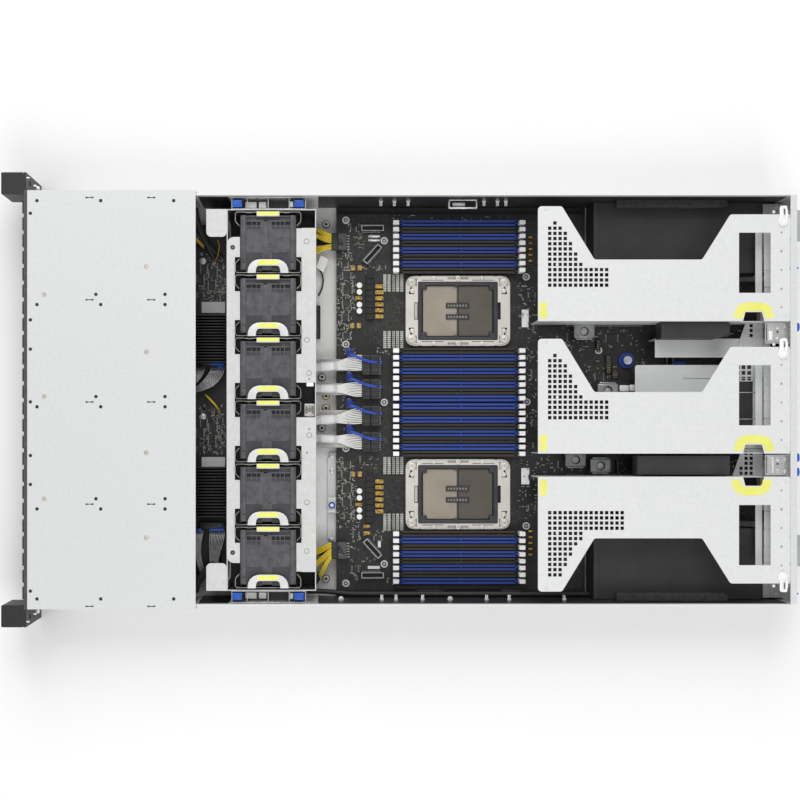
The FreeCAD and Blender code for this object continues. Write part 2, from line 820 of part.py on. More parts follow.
def board_connectors():
    """Board sockets: power, data, riser and the two slanted headers."""
    parts = []
    for x in power_places:
        parts.append(block((x - 9.2, x + 9.2), (-74.2, -64.6), (board_top, board_top + 10)))
        parts.append(block((x - 9.4, x + 9.4), (-82.0, -74.2), (board_top, board_top + 9)))
    for x in plug_rows:
        parts.append(block((x - plug_width / 2, x + plug_width / 2), (-38.0, -28.0),
                           (board_top, board_top + 12)))
        parts.append(block((x - plug_width / 2 + 1, x + plug_width / 2 - 1), (-47.9, -38.0),
                           (board_top, board_top + 11)))
    for x in (-191.8, 192.6):
        parts.append(block((x - 3.5, x + 3.5), (-48.7, -23.0), (board_top, board_top + 7)))
    for x, turn in ((-163.0, -48), (163.0, 48)):
        header = block((x - 3.5, x + 3.5), (-49.0, -23.0), (board_top, board_top + 7))
        header.rotate(V(x, -36.0, 0), UP, turn)
        parts.append(header)
    module_front = y_rear + 1 - module_length - slip
    parts.append(block((-50.0, -6.0), (module_front - 9, module_front), (board_top, board_top + 6)))
    for edge, side in zip(riser_edges, riser_sides):
        x = edge + side * (riser_sheet + 3)
        parts.append(block((x - 3.8, x + 3.8), (riser_front + 40, riser_front + 129),
                           (board_top, board_top + 9)))
    return parts


# Sliding board lock in front of the main board

lock_x = (55.8, 160.0)
lock_y = (-85.5, -76.5)
lock_height = 4.0
lock_block = (106.6, 123.7)


def lock_strip():
    front, rear = lock_y
    strip = [(lock_x[0], rear), (lock_x[0] + 8, front), (lock_x[1] - 8, front), (lock_x[1], rear)]
    return outline(strip, (sheet, sheet + lock_height))


def lock_slider():
    x = (lock_block[0] + lock_block[1]) / 2
    y = (lock_y[0] + lock_y[1]) / 2
    low = sheet + lock_height + slip
    base = block(lock_block, lock_y, (low, low + 2.4))
    knob = post(x, y, (low + 2.4, low + 8), 4.4)
    return fuse([base, knob])


knob_x, knob_y = -45.2, y_rear - 166.45
knob_radius = 8.6


def board_knob():
    """The quarter-turn knob that holds the adaptor bay down: a flange, a grip and its pin."""
    flange = post(knob_x, knob_y, (board_top + slip, board_top + 4), knob_radius)
    neck = post(knob_x, knob_y, (board_top + 3, board_top + 9), knob_radius * 0.62)
    return fuse([flange, neck])


# Cables that the body holds from plug to plug


def ribbon(x, width, path, thick):
    """A flat cable of one width whose centre follows (y, z) places."""
    upper = [V(x - width / 2, y, z + thick / 2) for y, z in path]
    lower = [V(x - width / 2, y, z - thick / 2) for y, z in reversed(path)]
    corners = upper + lower
    return Part.Face(Part.makePolygon(corners + corners[:1])).extrude(V(width, 0, 0))


cable_thick = 5.0
cable_width = 13.0


def data_cables():
    """Four flat bundles from the board sockets, under the fans, to the switch board."""
    height = board_top + 6
    parts = []
    for x in plug_rows:
        path = [(-47.9, height), (-62, height + 1), (-78, height), (wall_rear + 2, height - 6),
                (fan_y, height - 10), (-185.0, height - 9), (tab_front + 18, board_top - 1.2)]
        parts.append(ribbon(x, cable_width, path, cable_thick))
    return parts


def bent_tube(points, radius):
    """A round cable through straight runs joined by tangent arcs."""
    spots = [V(*p) for p in points]
    edges = []
    start = spots[0]
    for before, corner, after in zip(spots, spots[1:], spots[2:]):
        into = (corner - before).normalize()
        out = (after - corner).normalize()
        half = into.getAngle(out) / 2
        shorter = min((corner - before).Length, (after - corner).Length)
        back = 0.45 * shorter
        first = corner - into * back
        last = corner + out * back
        bend = back / math.tan(half)
        inward = (out - into).normalize()
        centre = corner + inward * (bend / math.cos(half))
        middle = centre - inward * bend
        edges.append(Part.LineSegment(start, first).toShape())
        edges.append(Part.Arc(first, middle, last).toShape())
        start = last
    edges.append(Part.LineSegment(start, spots[-1]).toShape())
    spine = Part.Wire(edges)
    ring = Part.Wire([Part.makeCircle(radius, spots[0], spots[1] - spots[0])])
    return spine.makePipeShell([ring], True, False)


power_radius = 4.0
side_cable_radius = 2.8


def power_cables():
    """Power leads: two from the board plugs under the fans to the switch board, one along the right wall."""
    z = board_top + 5
    left = bent_tube([(-176.5, -82.0, z), (-176.5, -87.5, z), (-177.5, -97.0, 9.5), (-178.5, -150.0, 8.0),
                      (-178.5, tab_front + 18, board_top - 1.2)], power_radius)
    right = bent_tube([(165.0, -82.0, z), (165.0, -87.5, z), (168.0, -97.0, 9.5), (172.0, -150.0, 8.0),
                       (172.0, tab_front + 18, board_top - 1.2)], power_radius)
    side = bent_tube([(210.0, channel_rear, 20.0), (210.0, -88.0, 20.0), (212.8, -62.0, 20.5),
                      (212.8, y_rear - psu_length - 24, 22.0)], side_cable_radius)
    return [left, right, side]


# Rear: ports, adaptor module, power supplies and risers


port_wall = 1.2
port_deep = 11.0


def rear_ports():
    parts = []
    for centre, width, height in port_row:
        trim = 0.3
        shell = block((centre - width / 2 + trim, centre + width / 2 - trim),
                      (y_rear - sheet - 20, y_rear), (board_top, board_top + height - trim))
        socket = block((centre - width / 2 + trim + port_wall, centre + width / 2 - trim - port_wall),
                       (y_rear - port_deep, y_rear + 1),
                       (board_top + port_wall, board_top + height - trim - port_wall))
        parts.append(shell.cut(socket))
    return parts


def rear_bay_frame():
    """Two bridge plates over the adaptor bay with their legs on the board."""
    top = (bay_top - sheet, bay_top)
    clear = module_low + module_height + 3
    wide_x, narrow_x = bay_plates_x
    wide = block(wide_x, (bay_wide_front, bay_rear), top)
    wide = rounded(wide, 3.0, UP, lambda p: p.y < bay_wide_front + 1)
    narrow = block(narrow_x, (bay_narrow_front, bay_rear), top)
    left, right = narrow_x[0], wide_x[1]
    legs = [block((wide_x[0], wide_x[0] + sheet), (bay_rear - 96, bay_rear), (clear, bay_top)),
            block((right - sheet, right), (bay_rear - 126, bay_rear - 6), (board_top, bay_top)),
            block((left, right), (bay_rear - sheet, bay_rear), (clear, bay_top)),
            block((left, left + sheet), (bay_narrow_front, bay_rear), (board_top, bay_top))]
    return fuse([wide, narrow] + legs)


def ocp_module():
    """The slide-in adaptor: a board with a front block of ports and a pull loop."""
    x = (module_left, module_left + module_width)
    rear = y_rear + 1.0
    board = block(x, (rear - module_length, rear - 2), (module_low, module_low + 1.6))
    face = block(x, (rear - 2, rear), (module_low, module_low + module_height))
    body = block((x[0] + 6, x[1] - 10), (rear - 40, rear - 2), (module_low + 1.6, module_low + module_height))
    tab = block((x[1] - 8, x[1] - 2), (rear, rear + 8), (module_low + 3, module_low + 7))
    return fuse([board, face, body, tab])


foam_span = (y_rear - 187.25, y_rear - 71.25)


def psu_ducts():
    """Black sheet ducts over both supplies, their front boards, and foam bars on the walls."""
    parts = []
    front = y_rear - psu_length - 24
    for side in (-1, 1):
        x = (side * (psu_x - psu_width / 2 - 2), side * (psu_x + psu_width / 2 + 1))
        top = block(x, (front + 4, y_rear - 24), (psu_low + psu_height + psu_slip, bay_top - 0.2))
        wall_x = (side * (psu_x - psu_width / 2 - 2), side * (psu_x - psu_width / 2 - 1))
        wall = block(wall_x, (front + 4, y_rear - 24), (sheet, bay_top - 0.2))
        parts.append(fuse([top, wall]))
        parts.append(block(x, (front, front + 4), (sheet, bay_top + 4)))
        parts.append(block((side * (tub_inside - 9.5), side * tub_inside), foam_span, (56.0, 66.0)))
    return parts


def power_supply(side):
    """A hot-swap supply: body, inlet recess, fan recess and a fixed loop handle."""
    x = (side * psu_x - psu_width / 2, side * psu_x + psu_width / 2)
    y = (y_rear - psu_length, y_rear)
    z = (psu_low, psu_low + psu_height)
    middle = (z[0] + z[1]) / 2
    body = block(x, y, z)
    inlet_x = side * psu_x + 20.0
    inlet = block((inlet_x - inlet_width / 2, inlet_x + inlet_width / 2), (y[1] - inlet_depth, y[1] + 1),
                  (z[0] + 3, z[0] + 3 + inlet_height))
    grille = rod(side * psu_x - 18.0, middle, (y[1] - 3, y[1] + 1), 16.5)
    core = rod(side * psu_x - 18.0, middle, (y[1] - 3.5, y[1] - 0.6), 7.0)
    body = body.cut(Part.makeCompound([inlet, grille])).fuse(core).removeSplitter()
    low = side * psu_x - handle_span / 2 - 14.0
    bar_z = (z[1] - 7 - handle_bar, z[1] - 7)
    posts = [block((px, px + handle_bar), (y[1] - 1, y_rear + handle_reach), bar_z)
             for px in (low, low + handle_span - handle_bar)]
    bar = block((low, low + handle_span), (y_rear + handle_reach - handle_bar, y_rear + handle_reach), bar_z)
    pin_x = side * psu_x + psu_width / 2 - 4.0
    lugs = [block((pin_x - 2.1, pin_x + 2.1), (y_rear, y_rear + 2 * psu_latch_thick), (low_z, low_z + 2.4))
            for low_z in (psu_latch_z[0] - slip - 2.4, psu_latch_z[1] + slip)]
    return fuse([body, bar] + posts + lugs)


psu_latch_length = 14.0
psu_latch_thick = 2.4
psu_latch_z = (psu_low + 28.0, psu_low + 37.0)


def psu_latch(side):
    """The sprung release tongue beside the handle, turning on an upright pin."""
    x = side * psu_x + psu_width / 2 - 4.0
    barrel = post(x, y_rear + psu_latch_thick, psu_latch_z, psu_latch_thick - slip)
    start = y_rear + psu_latch_thick
    tongue = block((x - 1.0, x + 1.0), (start, start + psu_latch_length), psu_latch_z)
    return fuse([barrel, tongue])


riser_rows = ((12,) * 4 + (7, 6, 6, 5, 5, 4, 4, 3, 1), (12,) * 4 + (7, 6, 6, 5, 5, 4, 4, 3, 1),
              (15,) * 4 + (7, 7, 6, 5, 5, 4, 4, 3, 3))


def riser_cage(index):
    """A riser: the notched top sheet, its long flange, rear flange, card, sockets and slot covers."""
    edge, side = riser_edges[index], riser_sides[index]

    def place(u, v):
        return (edge + side * u, riser_front + v)

    top = (riser_top - riser_sheet, riser_top)
    shape = [(0, 0), (riser_width, 0), (riser_width, riser_head), (riser_waist, riser_waist_span[0]),
             (riser_waist, riser_waist_span[1]), (riser_tail, riser_tail_start), (riser_tail, riser_length),
             (0, riser_length)]
    plate = outline([place(u, v) for u, v in shape], top)
    plate = rounded(plate, 4.0, UP, lambda p: abs(p.x - edge) > 60 and p.y < riser_front + riser_length - 1)
    cuts = []
    for row, count in enumerate(riser_rows[index]):
        for column in range(1 if count == 1 else 0, 2 if count == 1 else count):
            u = perforation_row + row * perforation_pitch
            v = perforation_first + column * perforation_pitch
            x, y = place(u, v)
            half = perforation / 2
            cuts.append(block((x - half, x + half), (y - half, y + half), (top[0] - 1, top[1] + 1)))
    (near_u, far_u), (low_v, high_v) = riser_window
    near, far = place(near_u, low_v), place(far_u, high_v)
    cuts.append(block((near[0], far[0]), (near[1], far[1]), (top[0] - 1, top[1] + 1)))
    half = notch_length / 2
    notch = [(-1, notch_centre - half), (0, notch_centre - half), (notch_depth, notch_centre - half + 2.5),
             (notch_depth, notch_centre + half - 2.5), (0, notch_centre + half), (-1, notch_centre + half)]
    cuts.append(outline([place(u, v) for u, v in notch], (riser_top - 14, top[1] + 1)))
    flange_x = (edge, edge + side * riser_sheet)
    flange = block(flange_x, (riser_front, riser_front + riser_length), (riser_low - 14, riser_top))
    back_y = (riser_front + riser_length - riser_sheet, riser_front + riser_length)
    back = block((edge, edge + side * riser_tail), back_y, (riser_low, riser_top))
    opening = block((edge + side * 4, edge + side * 109), (back_y[0] - 1, back_y[1] + 1),
                    (riser_low + 2, riser_top - 4))
    cage = fuse([plate, flange, back]).cut(Part.makeCompound(cuts + [opening]))
    card_x = (edge + side * (riser_sheet + slip), edge + side * (riser_sheet + slip + card_thick))
    card = block(card_x, (riser_front + 36, riser_front + 200), (board_top + 9 + slip, riser_top - 4))
    parts = [cage, card]
    for n in range(2):
        low = riser_low + 0.6 + n * slot_cover_pitch
        parts.append(block((card_x[1], card_x[1] + side * 11), (riser_front + 104, riser_front + 193),
                           (low + 6, low + 13.5)))
        cover = block((edge + side * 2.5, edge + side * 111), (back_y[0] - riser_sheet, back_y[0]),
                      (low, low + slot_cover_height))
        vents = [block((edge + side * (14 + k * 16), edge + side * (26 + k * 16)),
                       (back_y[0] - 3, back_y[0] + 1), (low + 5, low + 12.5)) for k in range(6)]
        parts.append(cover.cut(Part.makeCompound(vents)))
    return parts


def riser_latch(index):
    """The turning catch on a riser's rear corner, with its rivet and finger slot."""
    edge, side = riser_edges[index], riser_sides[index]
    x, y = edge + side * riser_latch_u, riser_front + riser_latch_v
    half = riser_latch_width / 2
    level = (riser_top + slip, riser_top + slip + 1.2)
    arm = block((x, x + side * riser_latch_length), (y - half, y + half), level)
    pad = post(x, y, level, half)
    rivet = post(x, y, (level[0], riser_top + 1.9), 2.2)
    slot = block((x + side * 6, x + side * 13), (y + 1.0, y + 2.4), (riser_top - 1, riser_top + 3))
    return fuse([arm, pad, rivet]).cut(slot)


def air_baffles():
    """Black air blocks that fill the gaps between the risers, on legs to the board."""
    z = (48.0, 76.0)
    end = y_rear - 68.55
    start = bay_narrow_front
    left, right = riser_edges[0] + 0.8, riser_edges[0] + 17.7
    first = [(left, start), (right, start), (right, end - 12.7), (right - 3.5, end), (left, end)]
    near, far = riser_edges[1] + 2.5, riser_edges[2] - 2.1
    second = [(near, end - 98.7), (far, end - 98.7), (far, end), (near, end)]
    legs = [block((left + 2.9, left + 10.9), (end - 43.7, end - 35.7), (board_top, z[0])),
            block((near + 4.4, near + 14.4), (end - 43.7, end - 35.7), (board_top, z[0]))]
    return [fuse([outline(first, z), legs[0]]), fuse([outline(second, z), legs[1]])]


def main():
    os.makedirs("parts", exist_ok=True)
    write("chassis_tub", chassis_tub())
    write("rear_panel", rear_panel())
    write("front_cover", front_cover())
    write("drive_cage", drive_cage())
    write("drive_boards", drive_backplane() + bridge_board())
    write("left_ear", ear(-1, False))
    write("right_ear", ear(1, True))
    write("power_button", ear_button(power_button_z))
    write("id_button", ear_button(id_button_z))
    write("fan_walls", fan_walls())
    write("fan_cage", fan_cage())
    write("cage_grips", cage_grips())
    for n in range(fan_count):
        write(f"fan_module_{n + 1}", fan_module(n))
        write(f"fan_rotor_{n + 1}", fan_rotor(n))
    for bank in range(bank_count):
        write(f"tray_bank_{bank + 1}", tray_bank(bank))
        write(f"lever_bank_{bank + 1}", lever_bank(bank))
    write("bridge_heatsinks", bridge_heatsinks())
    write("motherboard", motherboard())
    write("screws", standoffs() + cover_screws() + thumb_screws())
    write("board_parts", board_parts())
    write("board_connectors", board_connectors())
    write("cpu_sockets", [cpu_socket(x) for x in socket_x])
    write("socket_frames", [socket_frame(x) for x in socket_x])
    write("dimm_slots_blue", memory_slots(True))
    write("dimm_slots_black", memory_slots(False))
    write("dimm_latches_front", memory_latches(-1))
    write("dimm_latches_rear", memory_latches(1))
    write("lock_strip", lock_strip())
    write("lock_slider", lock_slider())
    write("board_knob", board_knob())
    write("data_cables", data_cables())
    write("power_cables", power_cables())
    write("rear_ports", rear_ports())
    write("rear_bay_frame", rear_bay_frame())
    write("ocp_module", ocp_module())
    write("air_ducts", psu_ducts() + air_baffles())
    for n, side in enumerate((-1, 1)):
        write(f"power_supply_{n + 1}", power_supply(side))
        write(f"psu_latch_{n + 1}", psu_latch(side))
    for n in range(len(riser_edges)):
        write(f"riser_cage_{n + 1}", riser_cage(n))
        write(f"riser_latch_{n + 1}", riser_latch(n))


main()
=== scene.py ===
import math
import random

import bpy
from mathutils import Matrix, Vector


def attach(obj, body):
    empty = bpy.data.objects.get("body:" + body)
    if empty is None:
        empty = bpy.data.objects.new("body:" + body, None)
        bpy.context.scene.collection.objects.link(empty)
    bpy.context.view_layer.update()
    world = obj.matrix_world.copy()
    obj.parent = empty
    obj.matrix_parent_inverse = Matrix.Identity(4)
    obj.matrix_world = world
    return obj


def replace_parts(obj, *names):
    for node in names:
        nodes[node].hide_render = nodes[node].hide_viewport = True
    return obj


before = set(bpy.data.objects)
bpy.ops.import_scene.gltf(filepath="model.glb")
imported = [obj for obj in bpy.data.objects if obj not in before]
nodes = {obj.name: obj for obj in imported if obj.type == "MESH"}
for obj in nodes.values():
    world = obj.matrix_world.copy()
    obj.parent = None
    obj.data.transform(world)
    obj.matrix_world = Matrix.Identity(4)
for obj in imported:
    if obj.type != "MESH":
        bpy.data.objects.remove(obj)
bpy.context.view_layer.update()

# Tub. The open steel box that carries everything: zinc-plated sheet, folded up from one blank, with a folded
# lip along the rear. Its floor shows between the fans and the main board. Black sheets painted as shade line
# the side walls, with a low black strip on the floor at their foot, and short bright posts and a framed
# window stand in the walls.

MM = 0.001
UPWARD = Vector((0, 0, 1))


def drop_selection():
    if bpy.context.object and bpy.context.object.mode != "OBJECT":
        bpy.ops.object.mode_set(mode="OBJECT")
    bpy.ops.object.select_all(action="DESELECT")


def take_hold(piece):
    drop_selection()
    bpy.context.view_layer.objects.active = piece
    piece.select_set(True)


def settle(piece, edge=0.0, rounds=2):
    """The place goes into the mesh, the object stays at the origin, and the edges are eased."""
    take_hold(piece)
    bpy.ops.object.transform_apply(location=True, rotation=True, scale=True)
    return round_edges(piece, edge, rounds) if edge else piece


def round_edges(piece, width, rounds=2):
    take_hold(piece)
    bevel = piece.modifiers.new("edges", "BEVEL")
    bevel.width = width * MM
    bevel.segments = rounds
    bevel.limit_method = "ANGLE"
    bevel.angle_limit = math.radians(35)
    bpy.ops.object.modifier_apply(modifier=bevel.name)
    bpy.ops.object.shade_smooth_by_angle(angle=math.radians(40))
    return piece


def billet(x, y, z, edge=0.0, rounds=2):
    """A block between (low, high) places in millimetres."""
    drop_selection()
    middle = [(pair[0] + pair[1]) / 2 * MM for pair in (x, y, z)]
    bpy.ops.mesh.primitive_cube_add(size=1, location=middle)
    bpy.context.object.scale = [abs(pair[1] - pair[0]) * MM for pair in (x, y, z)]
    return settle(bpy.context.object, edge, rounds)


def brick(x, y, wide, long, z, edge=0.0, rounds=2):
    """A block round an upright line at x, y."""
    return billet((x - wide / 2, x + wide / 2), (y - long / 2, y + long / 2), z, edge, rounds)


def turned(x, y, z, radius, edge=0.0, sides=20):
    """An upright round piece between two heights."""
    drop_selection()
    bpy.ops.mesh.primitive_cylinder_add(vertices=sides, radius=radius * MM, depth=(z[1] - z[0]) * MM,
                                        location=(x * MM, y * MM, (z[0] + z[1]) / 2 * MM))
    return settle(bpy.context.object, edge)


def press_in(piece, inset, depth, area=0.0, steep=0.9, facing=UPWARD):
    """Insets the faces that look one way, if they are over an area in square metres, and sinks them."""
    take_hold(piece)
    bpy.ops.object.mode_set(mode="EDIT")
    bpy.ops.mesh.select_mode(type="FACE")
    bpy.ops.mesh.select_all(action="DESELECT")
    bpy.ops.object.mode_set(mode="OBJECT")
    for face in piece.data.polygons:
        face.select = face.normal.dot(facing) > steep and face.area > area
    bpy.ops.object.mode_set(mode="EDIT")
    bpy.ops.mesh.inset(thickness=inset * MM, depth=-depth * MM, use_individual=True)
    bpy.ops.object.mode_set(mode="OBJECT")
    return piece


def clear_away(*models):
    for model in models:
        bpy.data.objects.remove(model)


def as_one(pieces):
    drop_selection()
    for piece in pieces:
        piece.select_set(True)
    bpy.context.view_layer.objects.active = pieces[0]
    if len(pieces) > 1:
        bpy.ops.object.join()
    return pieces[0]


def cut_from(piece, cutters):
    """Takes the cutters' shapes out of a piece and removes them."""
    tool = as_one(cutters)
    take_hold(piece)
    cut = piece.modifiers.new("cut", "BOOLEAN")
    cut.operation = "DIFFERENCE"
    cut.solver = "EXACT"
    cut.object = tool
    bpy.ops.object.modifier_apply(modifier=cut.name)
    clear_away(tool)
    return piece


def add_node(tree, kind, inputs, **settings):
    """A shader node. An input takes a value, or a (node, output) pair to be joined to."""
    node = tree.nodes.new("ShaderNode" + kind)
    for name, value in settings.items():
        setattr(node, name, value)
    for name, value in inputs.items():
        if isinstance(value, tuple) and isinstance(value[0], bpy.types.Node):
            tree.links.new(value[0].outputs[value[1]], node.inputs[name])
        else:
            node.inputs[name].default_value = value
    return node


ROUGH_SPREAD = 0.06
BUMP_HEIGHT = 0.0004


def finish(name, dark, light, rough, metal=0.0, grain=60.0, stretch=(1, 1, 1), bump=0.0, bump_grain=400.0,
           contrast=0.5):
    """A surface whose colour and roughness drift between two shades, with a fine bump."""
    made = bpy.data.materials.new(name)
    made.use_nodes = True
    tree = made.node_tree
    shader = tree.nodes["Principled BSDF"]
    shader.inputs["Metallic"].default_value = metal
    place = add_node(tree, "TexCoord", {}, name="place")
    turn = add_node(tree, "Mapping", {"Scale": stretch, "Vector": (place, "Object")})
    cloud = add_node(tree, "TexNoise", {"Scale": grain, "Detail": 5, "Vector": (turn, "Vector")})
    shades = add_node(tree, "ValToRGB", {"Fac": (cloud, "Fac")}, name="shades")
    for end, position, colour in zip(shades.color_ramp.elements, (0.5 - contrast / 2, 0.5 + contrast / 2),
                                     (dark, light)):
        end.position = position
        end.color = (*colour, 1)
    tree.links.new(shades.outputs["Color"], shader.inputs["Base Color"])
    gloss = add_node(tree, "MapRange", {"To Min": max(0.02, rough - ROUGH_SPREAD),
                                        "To Max": rough + ROUGH_SPREAD, "Value": (cloud, "Fac")})
    tree.links.new(gloss.outputs["Result"], shader.inputs["Roughness"])
    if bump:
        pits = add_node(tree, "TexNoise", {"Scale": bump_grain, "Detail": 3, "Vector": (turn, "Vector")})
        relief = add_node(tree, "Bump", {"Strength": bump, "Distance": BUMP_HEIGHT, "Height": (pits, "Fac")})
        tree.links.new(relief.outputs["Normal"], shader.inputs["Normal"])
    return made


def coat(piece, surface):
    piece.data.materials.clear()
    piece.data.materials.append(surface)


def dress(surface, *names):
    """Gives whole CAD nodes their surface."""
    for name in names:
        coat(nodes[name], surface)


def fasten(name, pieces, surface, body="chassis"):
    """Joins pieces into one with a name and a surface, and sets it on the body that it rides on."""
    piece = as_one(pieces)
    piece.name = name
    piece.data.name = name
    coat(piece, surface)
    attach(piece, body)
    return piece


# Painted light: the tub's steel is coloured lighter than its zinc, so that the floor, which lies in shade
# inside the tub, keeps its brightness.
tub_steel_painted_light = finish("tub steel painted lighter", (0.78, 0.775, 0.76), (0.92, 0.915, 0.90), 0.42, 0.12, 14, (1, 0.06, 1),
                     0.12, 900)
dress(tub_steel_painted_light, "chassis_tub")

WALL = 217.0
WALL_SHADE_TOP = 78.0
# Painted shade: this black stands for the shade on the inner side walls and on the floor at their foot; it
# also marks other shade below and colours the black air ducts.
black_and_painted_shade = finish("black and painted shade", (0.018, 0.018, 0.0195), (0.034, 0.034, 0.0365), 0.5, 0.0, 40, bump=0.1)
wall_shades = []
# Painted shade: a black sheet on each inner side wall, and a low black strip on the floor at its foot.
for side in (-1, 1):
    for span in ((-96, 404), (-224, -192)):
        wall_shades.append(billet((side * WALL, side * (WALL - 0.5)), span, (1.4, WALL_SHADE_TOP), 0.15, 1))
    wall_shades.append(billet((side * (WALL - 0.6), side * (WALL - 8.4)), (-76, 202), (1.3, 1.9), 0.15, 1))
fasten("wall_painted_shade", wall_shades, black_and_painted_shade)

bright_post = finish("bright post", (0.62, 0.62, 0.61), (0.82, 0.82, 0.80), 0.28, 0.8, 120)
posts = []
for side, places in ((-1, (-28.5, -14.0, 0.8, 82.5, 97.0, 106.0)),
                     (1, (-27.5, -12.2, 16.4, 85.3, 109.6, 168.8))):
    for y in places:
        posts.append(press_in(brick(side * 212.9, y, 7.0, 3.0, (60, 63), 0.4), 0.7, 0.6))
        posts.append(turned(side * 214.6, y, (62.8, 64.4), 2.3, 0.3, 16))
posts += [turned(214.0, y, (60.0, 64.6), 3.0, 0.4, 20) for y in (-71.4, 46.0)]
fasten("wall_posts", posts, bright_post)

window_frame = billet((-216.3, -205.6), (43.6, 75.1), (62, 68), 1.2)
cut_from(window_frame, [billet((-214.6, -207.4), (45.4, 73.3), (60, 70), 0.9)])
window_tag = press_in(billet((-212.6, -208.6), (48.6, 62.0), (62.6, 64.0), 0.3), 0.6, 0.4)
fasten("wall_window", [window_frame, window_tag], bright_post)

# Front cover. Zinc-plated steel lid over the drives, riveted to the drive cage; round holes and bow-tie slots
# are pressed through it, and yellow-passivated screws hold it down.

galvanised = finish("galvanised sheet", (0.675, 0.685, 0.688), (0.735, 0.743, 0.747), 0.46, 0.12, 340,
                    (1, 1, 1), 0.05, 1200)
dress(galvanised, "front_cover", "rear_panel")
# Painted shade: black discs in the cover's round holes, on the drive cage's top below them, stand for the
# dark inside.
HOLE_SHADE_Z = (86.92, 87.1)
HOLE_SHADE_RADIUS = 1.85
passivated = finish("yellow passivated", (0.56, 0.47, 0.31), (0.74, 0.65, 0.48), 0.35, 0.3, 200)
heads = []
for x, y in ((-111.8, -387), (-3.5, -387), (105.1, -387), (-141.2, -278), (-50.8, -278), (56.1, -278),
             (146.3, -278)):
    heads.append(press_in(turned(x, y, (86.95, 88.0), 2.45, 0.35, 20), 1.3, 0.5, steep=0.99))
fasten("cover_screw_heads", heads, passivated)
holes = [(bank + x, y) for bank in (-111.8, -3.4, 105.0)
         for x, y in ((0, -331.75), (0, -258.45), (10.8, -394.25), (10.8, -326.65), (10.8, -258.45))]
holes += [(x, -401.25) for x in (-197.8, -84.8, -53.7, 2.2, 59.1, 89.8, 202.9)]
holes += [(x, y) for x in (-211.2, 211.2) for y in (-394.25, -326.65, -249.25)]
fasten("cover_hole_shade", [turned(x, y, HOLE_SHADE_Z, HOLE_SHADE_RADIUS, 0, 16) for x, y in holes], black_and_painted_shade)

# Bezel and drive cage. A dark painted frame closes the front; behind it thin steel partitions keep the trays
# apart.

# The bezel is painted dark, and the rest of the drive cage takes the same colour as painted shade: its steel
# top under the cover is coloured dark so that the cover's holes look dark.
dark_paint_and_shade = finish("dark paint and painted shade", (0.050, 0.050, 0.053), (0.085, 0.085, 0.090), 0.5, 0.0, 160, bump=0.15)
dress(dark_paint_and_shade, "drive_cage")

# Drive trays and levers. Each tray is a steel carrier with a tall dark lever on its face: a perforated
# grille, a blue release tab at its top and a hinge pin at its foot. The levers are modelled once and copied
# to each bay.

tray_steel = finish("tray steel", (0.44, 0.45, 0.46), (0.58, 0.59, 0.60), 0.4, 0.6, 30, (1, 0.1, 1), 0.08)
lever_black = finish("lever black", (0.030, 0.030, 0.033), (0.055, 0.055, 0.058), 0.45, 0.0, 220, bump=0.1)
touch_blue = finish("touch blue", (0.012, 0.085, 0.46), (0.022, 0.135, 0.60), 0.42, 0.0, 90, bump=0.06)
lamp_green = finish("lamp lens", (0.30, 0.42, 0.36), (0.46, 0.58, 0.50), 0.25, 0.0, 80)
dress(tray_steel, "tray_bank_1", "tray_bank_2", "tray_bank_3")

BAY = 17.9
LEVER_FACE = -411.75
FORWARD = Vector((0, -1, 0))
CELL_PITCH = 3.9
CELL_ROW = 3.5


def lying(x, y, z, radius, edge=0.0, sides=20):
    """A round piece along the server, between two places y."""
    drop_selection()
    bpy.ops.mesh.primitive_cylinder_add(vertices=sides, radius=radius * MM, depth=(y[1] - y[0]) * MM,
                                        location=(x * MM, (y[0] + y[1]) / 2 * MM, z * MM),
                                        rotation=(math.radians(90), 0, 0))
    return settle(bpy.context.object, edge)


def moved(piece, x=0.0, y=0.0, z=0.0, degrees=0.0, axis="Z"):
    """Turns a piece about the origin, then carries it along."""
    turn = Matrix.Rotation(math.radians(degrees), 4, axis)
    piece.data.transform(Matrix.Translation((x * MM, y * MM, z * MM)) @ turn)
    return piece


def copy_of(piece, x=0.0, y=0.0, z=0.0):
    made = piece.copy()
    made.data = piece.data.copy()
    bpy.context.scene.collection.objects.link(made)
    return moved(made, x, y, z)


def lever_block(x, y, z, edge, rounds=2):
    """A block of the lever just left of the middle: x from its own middle, y from its face."""
    return billet([place - BAY / 2 for place in x], [place + LEVER_FACE for place in y], z, edge, rounds)


lever_model = lever_block((-6.9, 6.9), (0, 4.0), (7.6, 79.2), 0.9, 3)
press_in(lever_model, 1.5, 0.9, 0.0005, facing=FORWARD)
drills = []
for row in range(11):
    across = (-CELL_PITCH, 0, CELL_PITCH) if row % 2 else (-CELL_PITCH / 2, CELL_PITCH / 2)
    drills += [lying(u - BAY / 2, (LEVER_FACE - 6, LEVER_FACE + 6), 24 + row * CELL_ROW, 1.65, 0, 6)
               for u in across]
cut_from(lever_model, drills)
pin_model = lever_block((-7.2, 7.2), (1.2, 3.2), (8.6, 10.4), 0.5)
lever_model = as_one([lever_model, pin_model])
tab_model = press_in(lever_block((-4.6, 4.6), (0.1, 2.4), (67.5, 74.5), 0.7), 1.2, 0.5, 0.00002,
                     facing=FORWARD)
light_model = as_one([lever_block((u, u + 1.8), (0.3, 2.0), (13.5, 15.3), 0.3) for u in (-3.8, -0.4)])
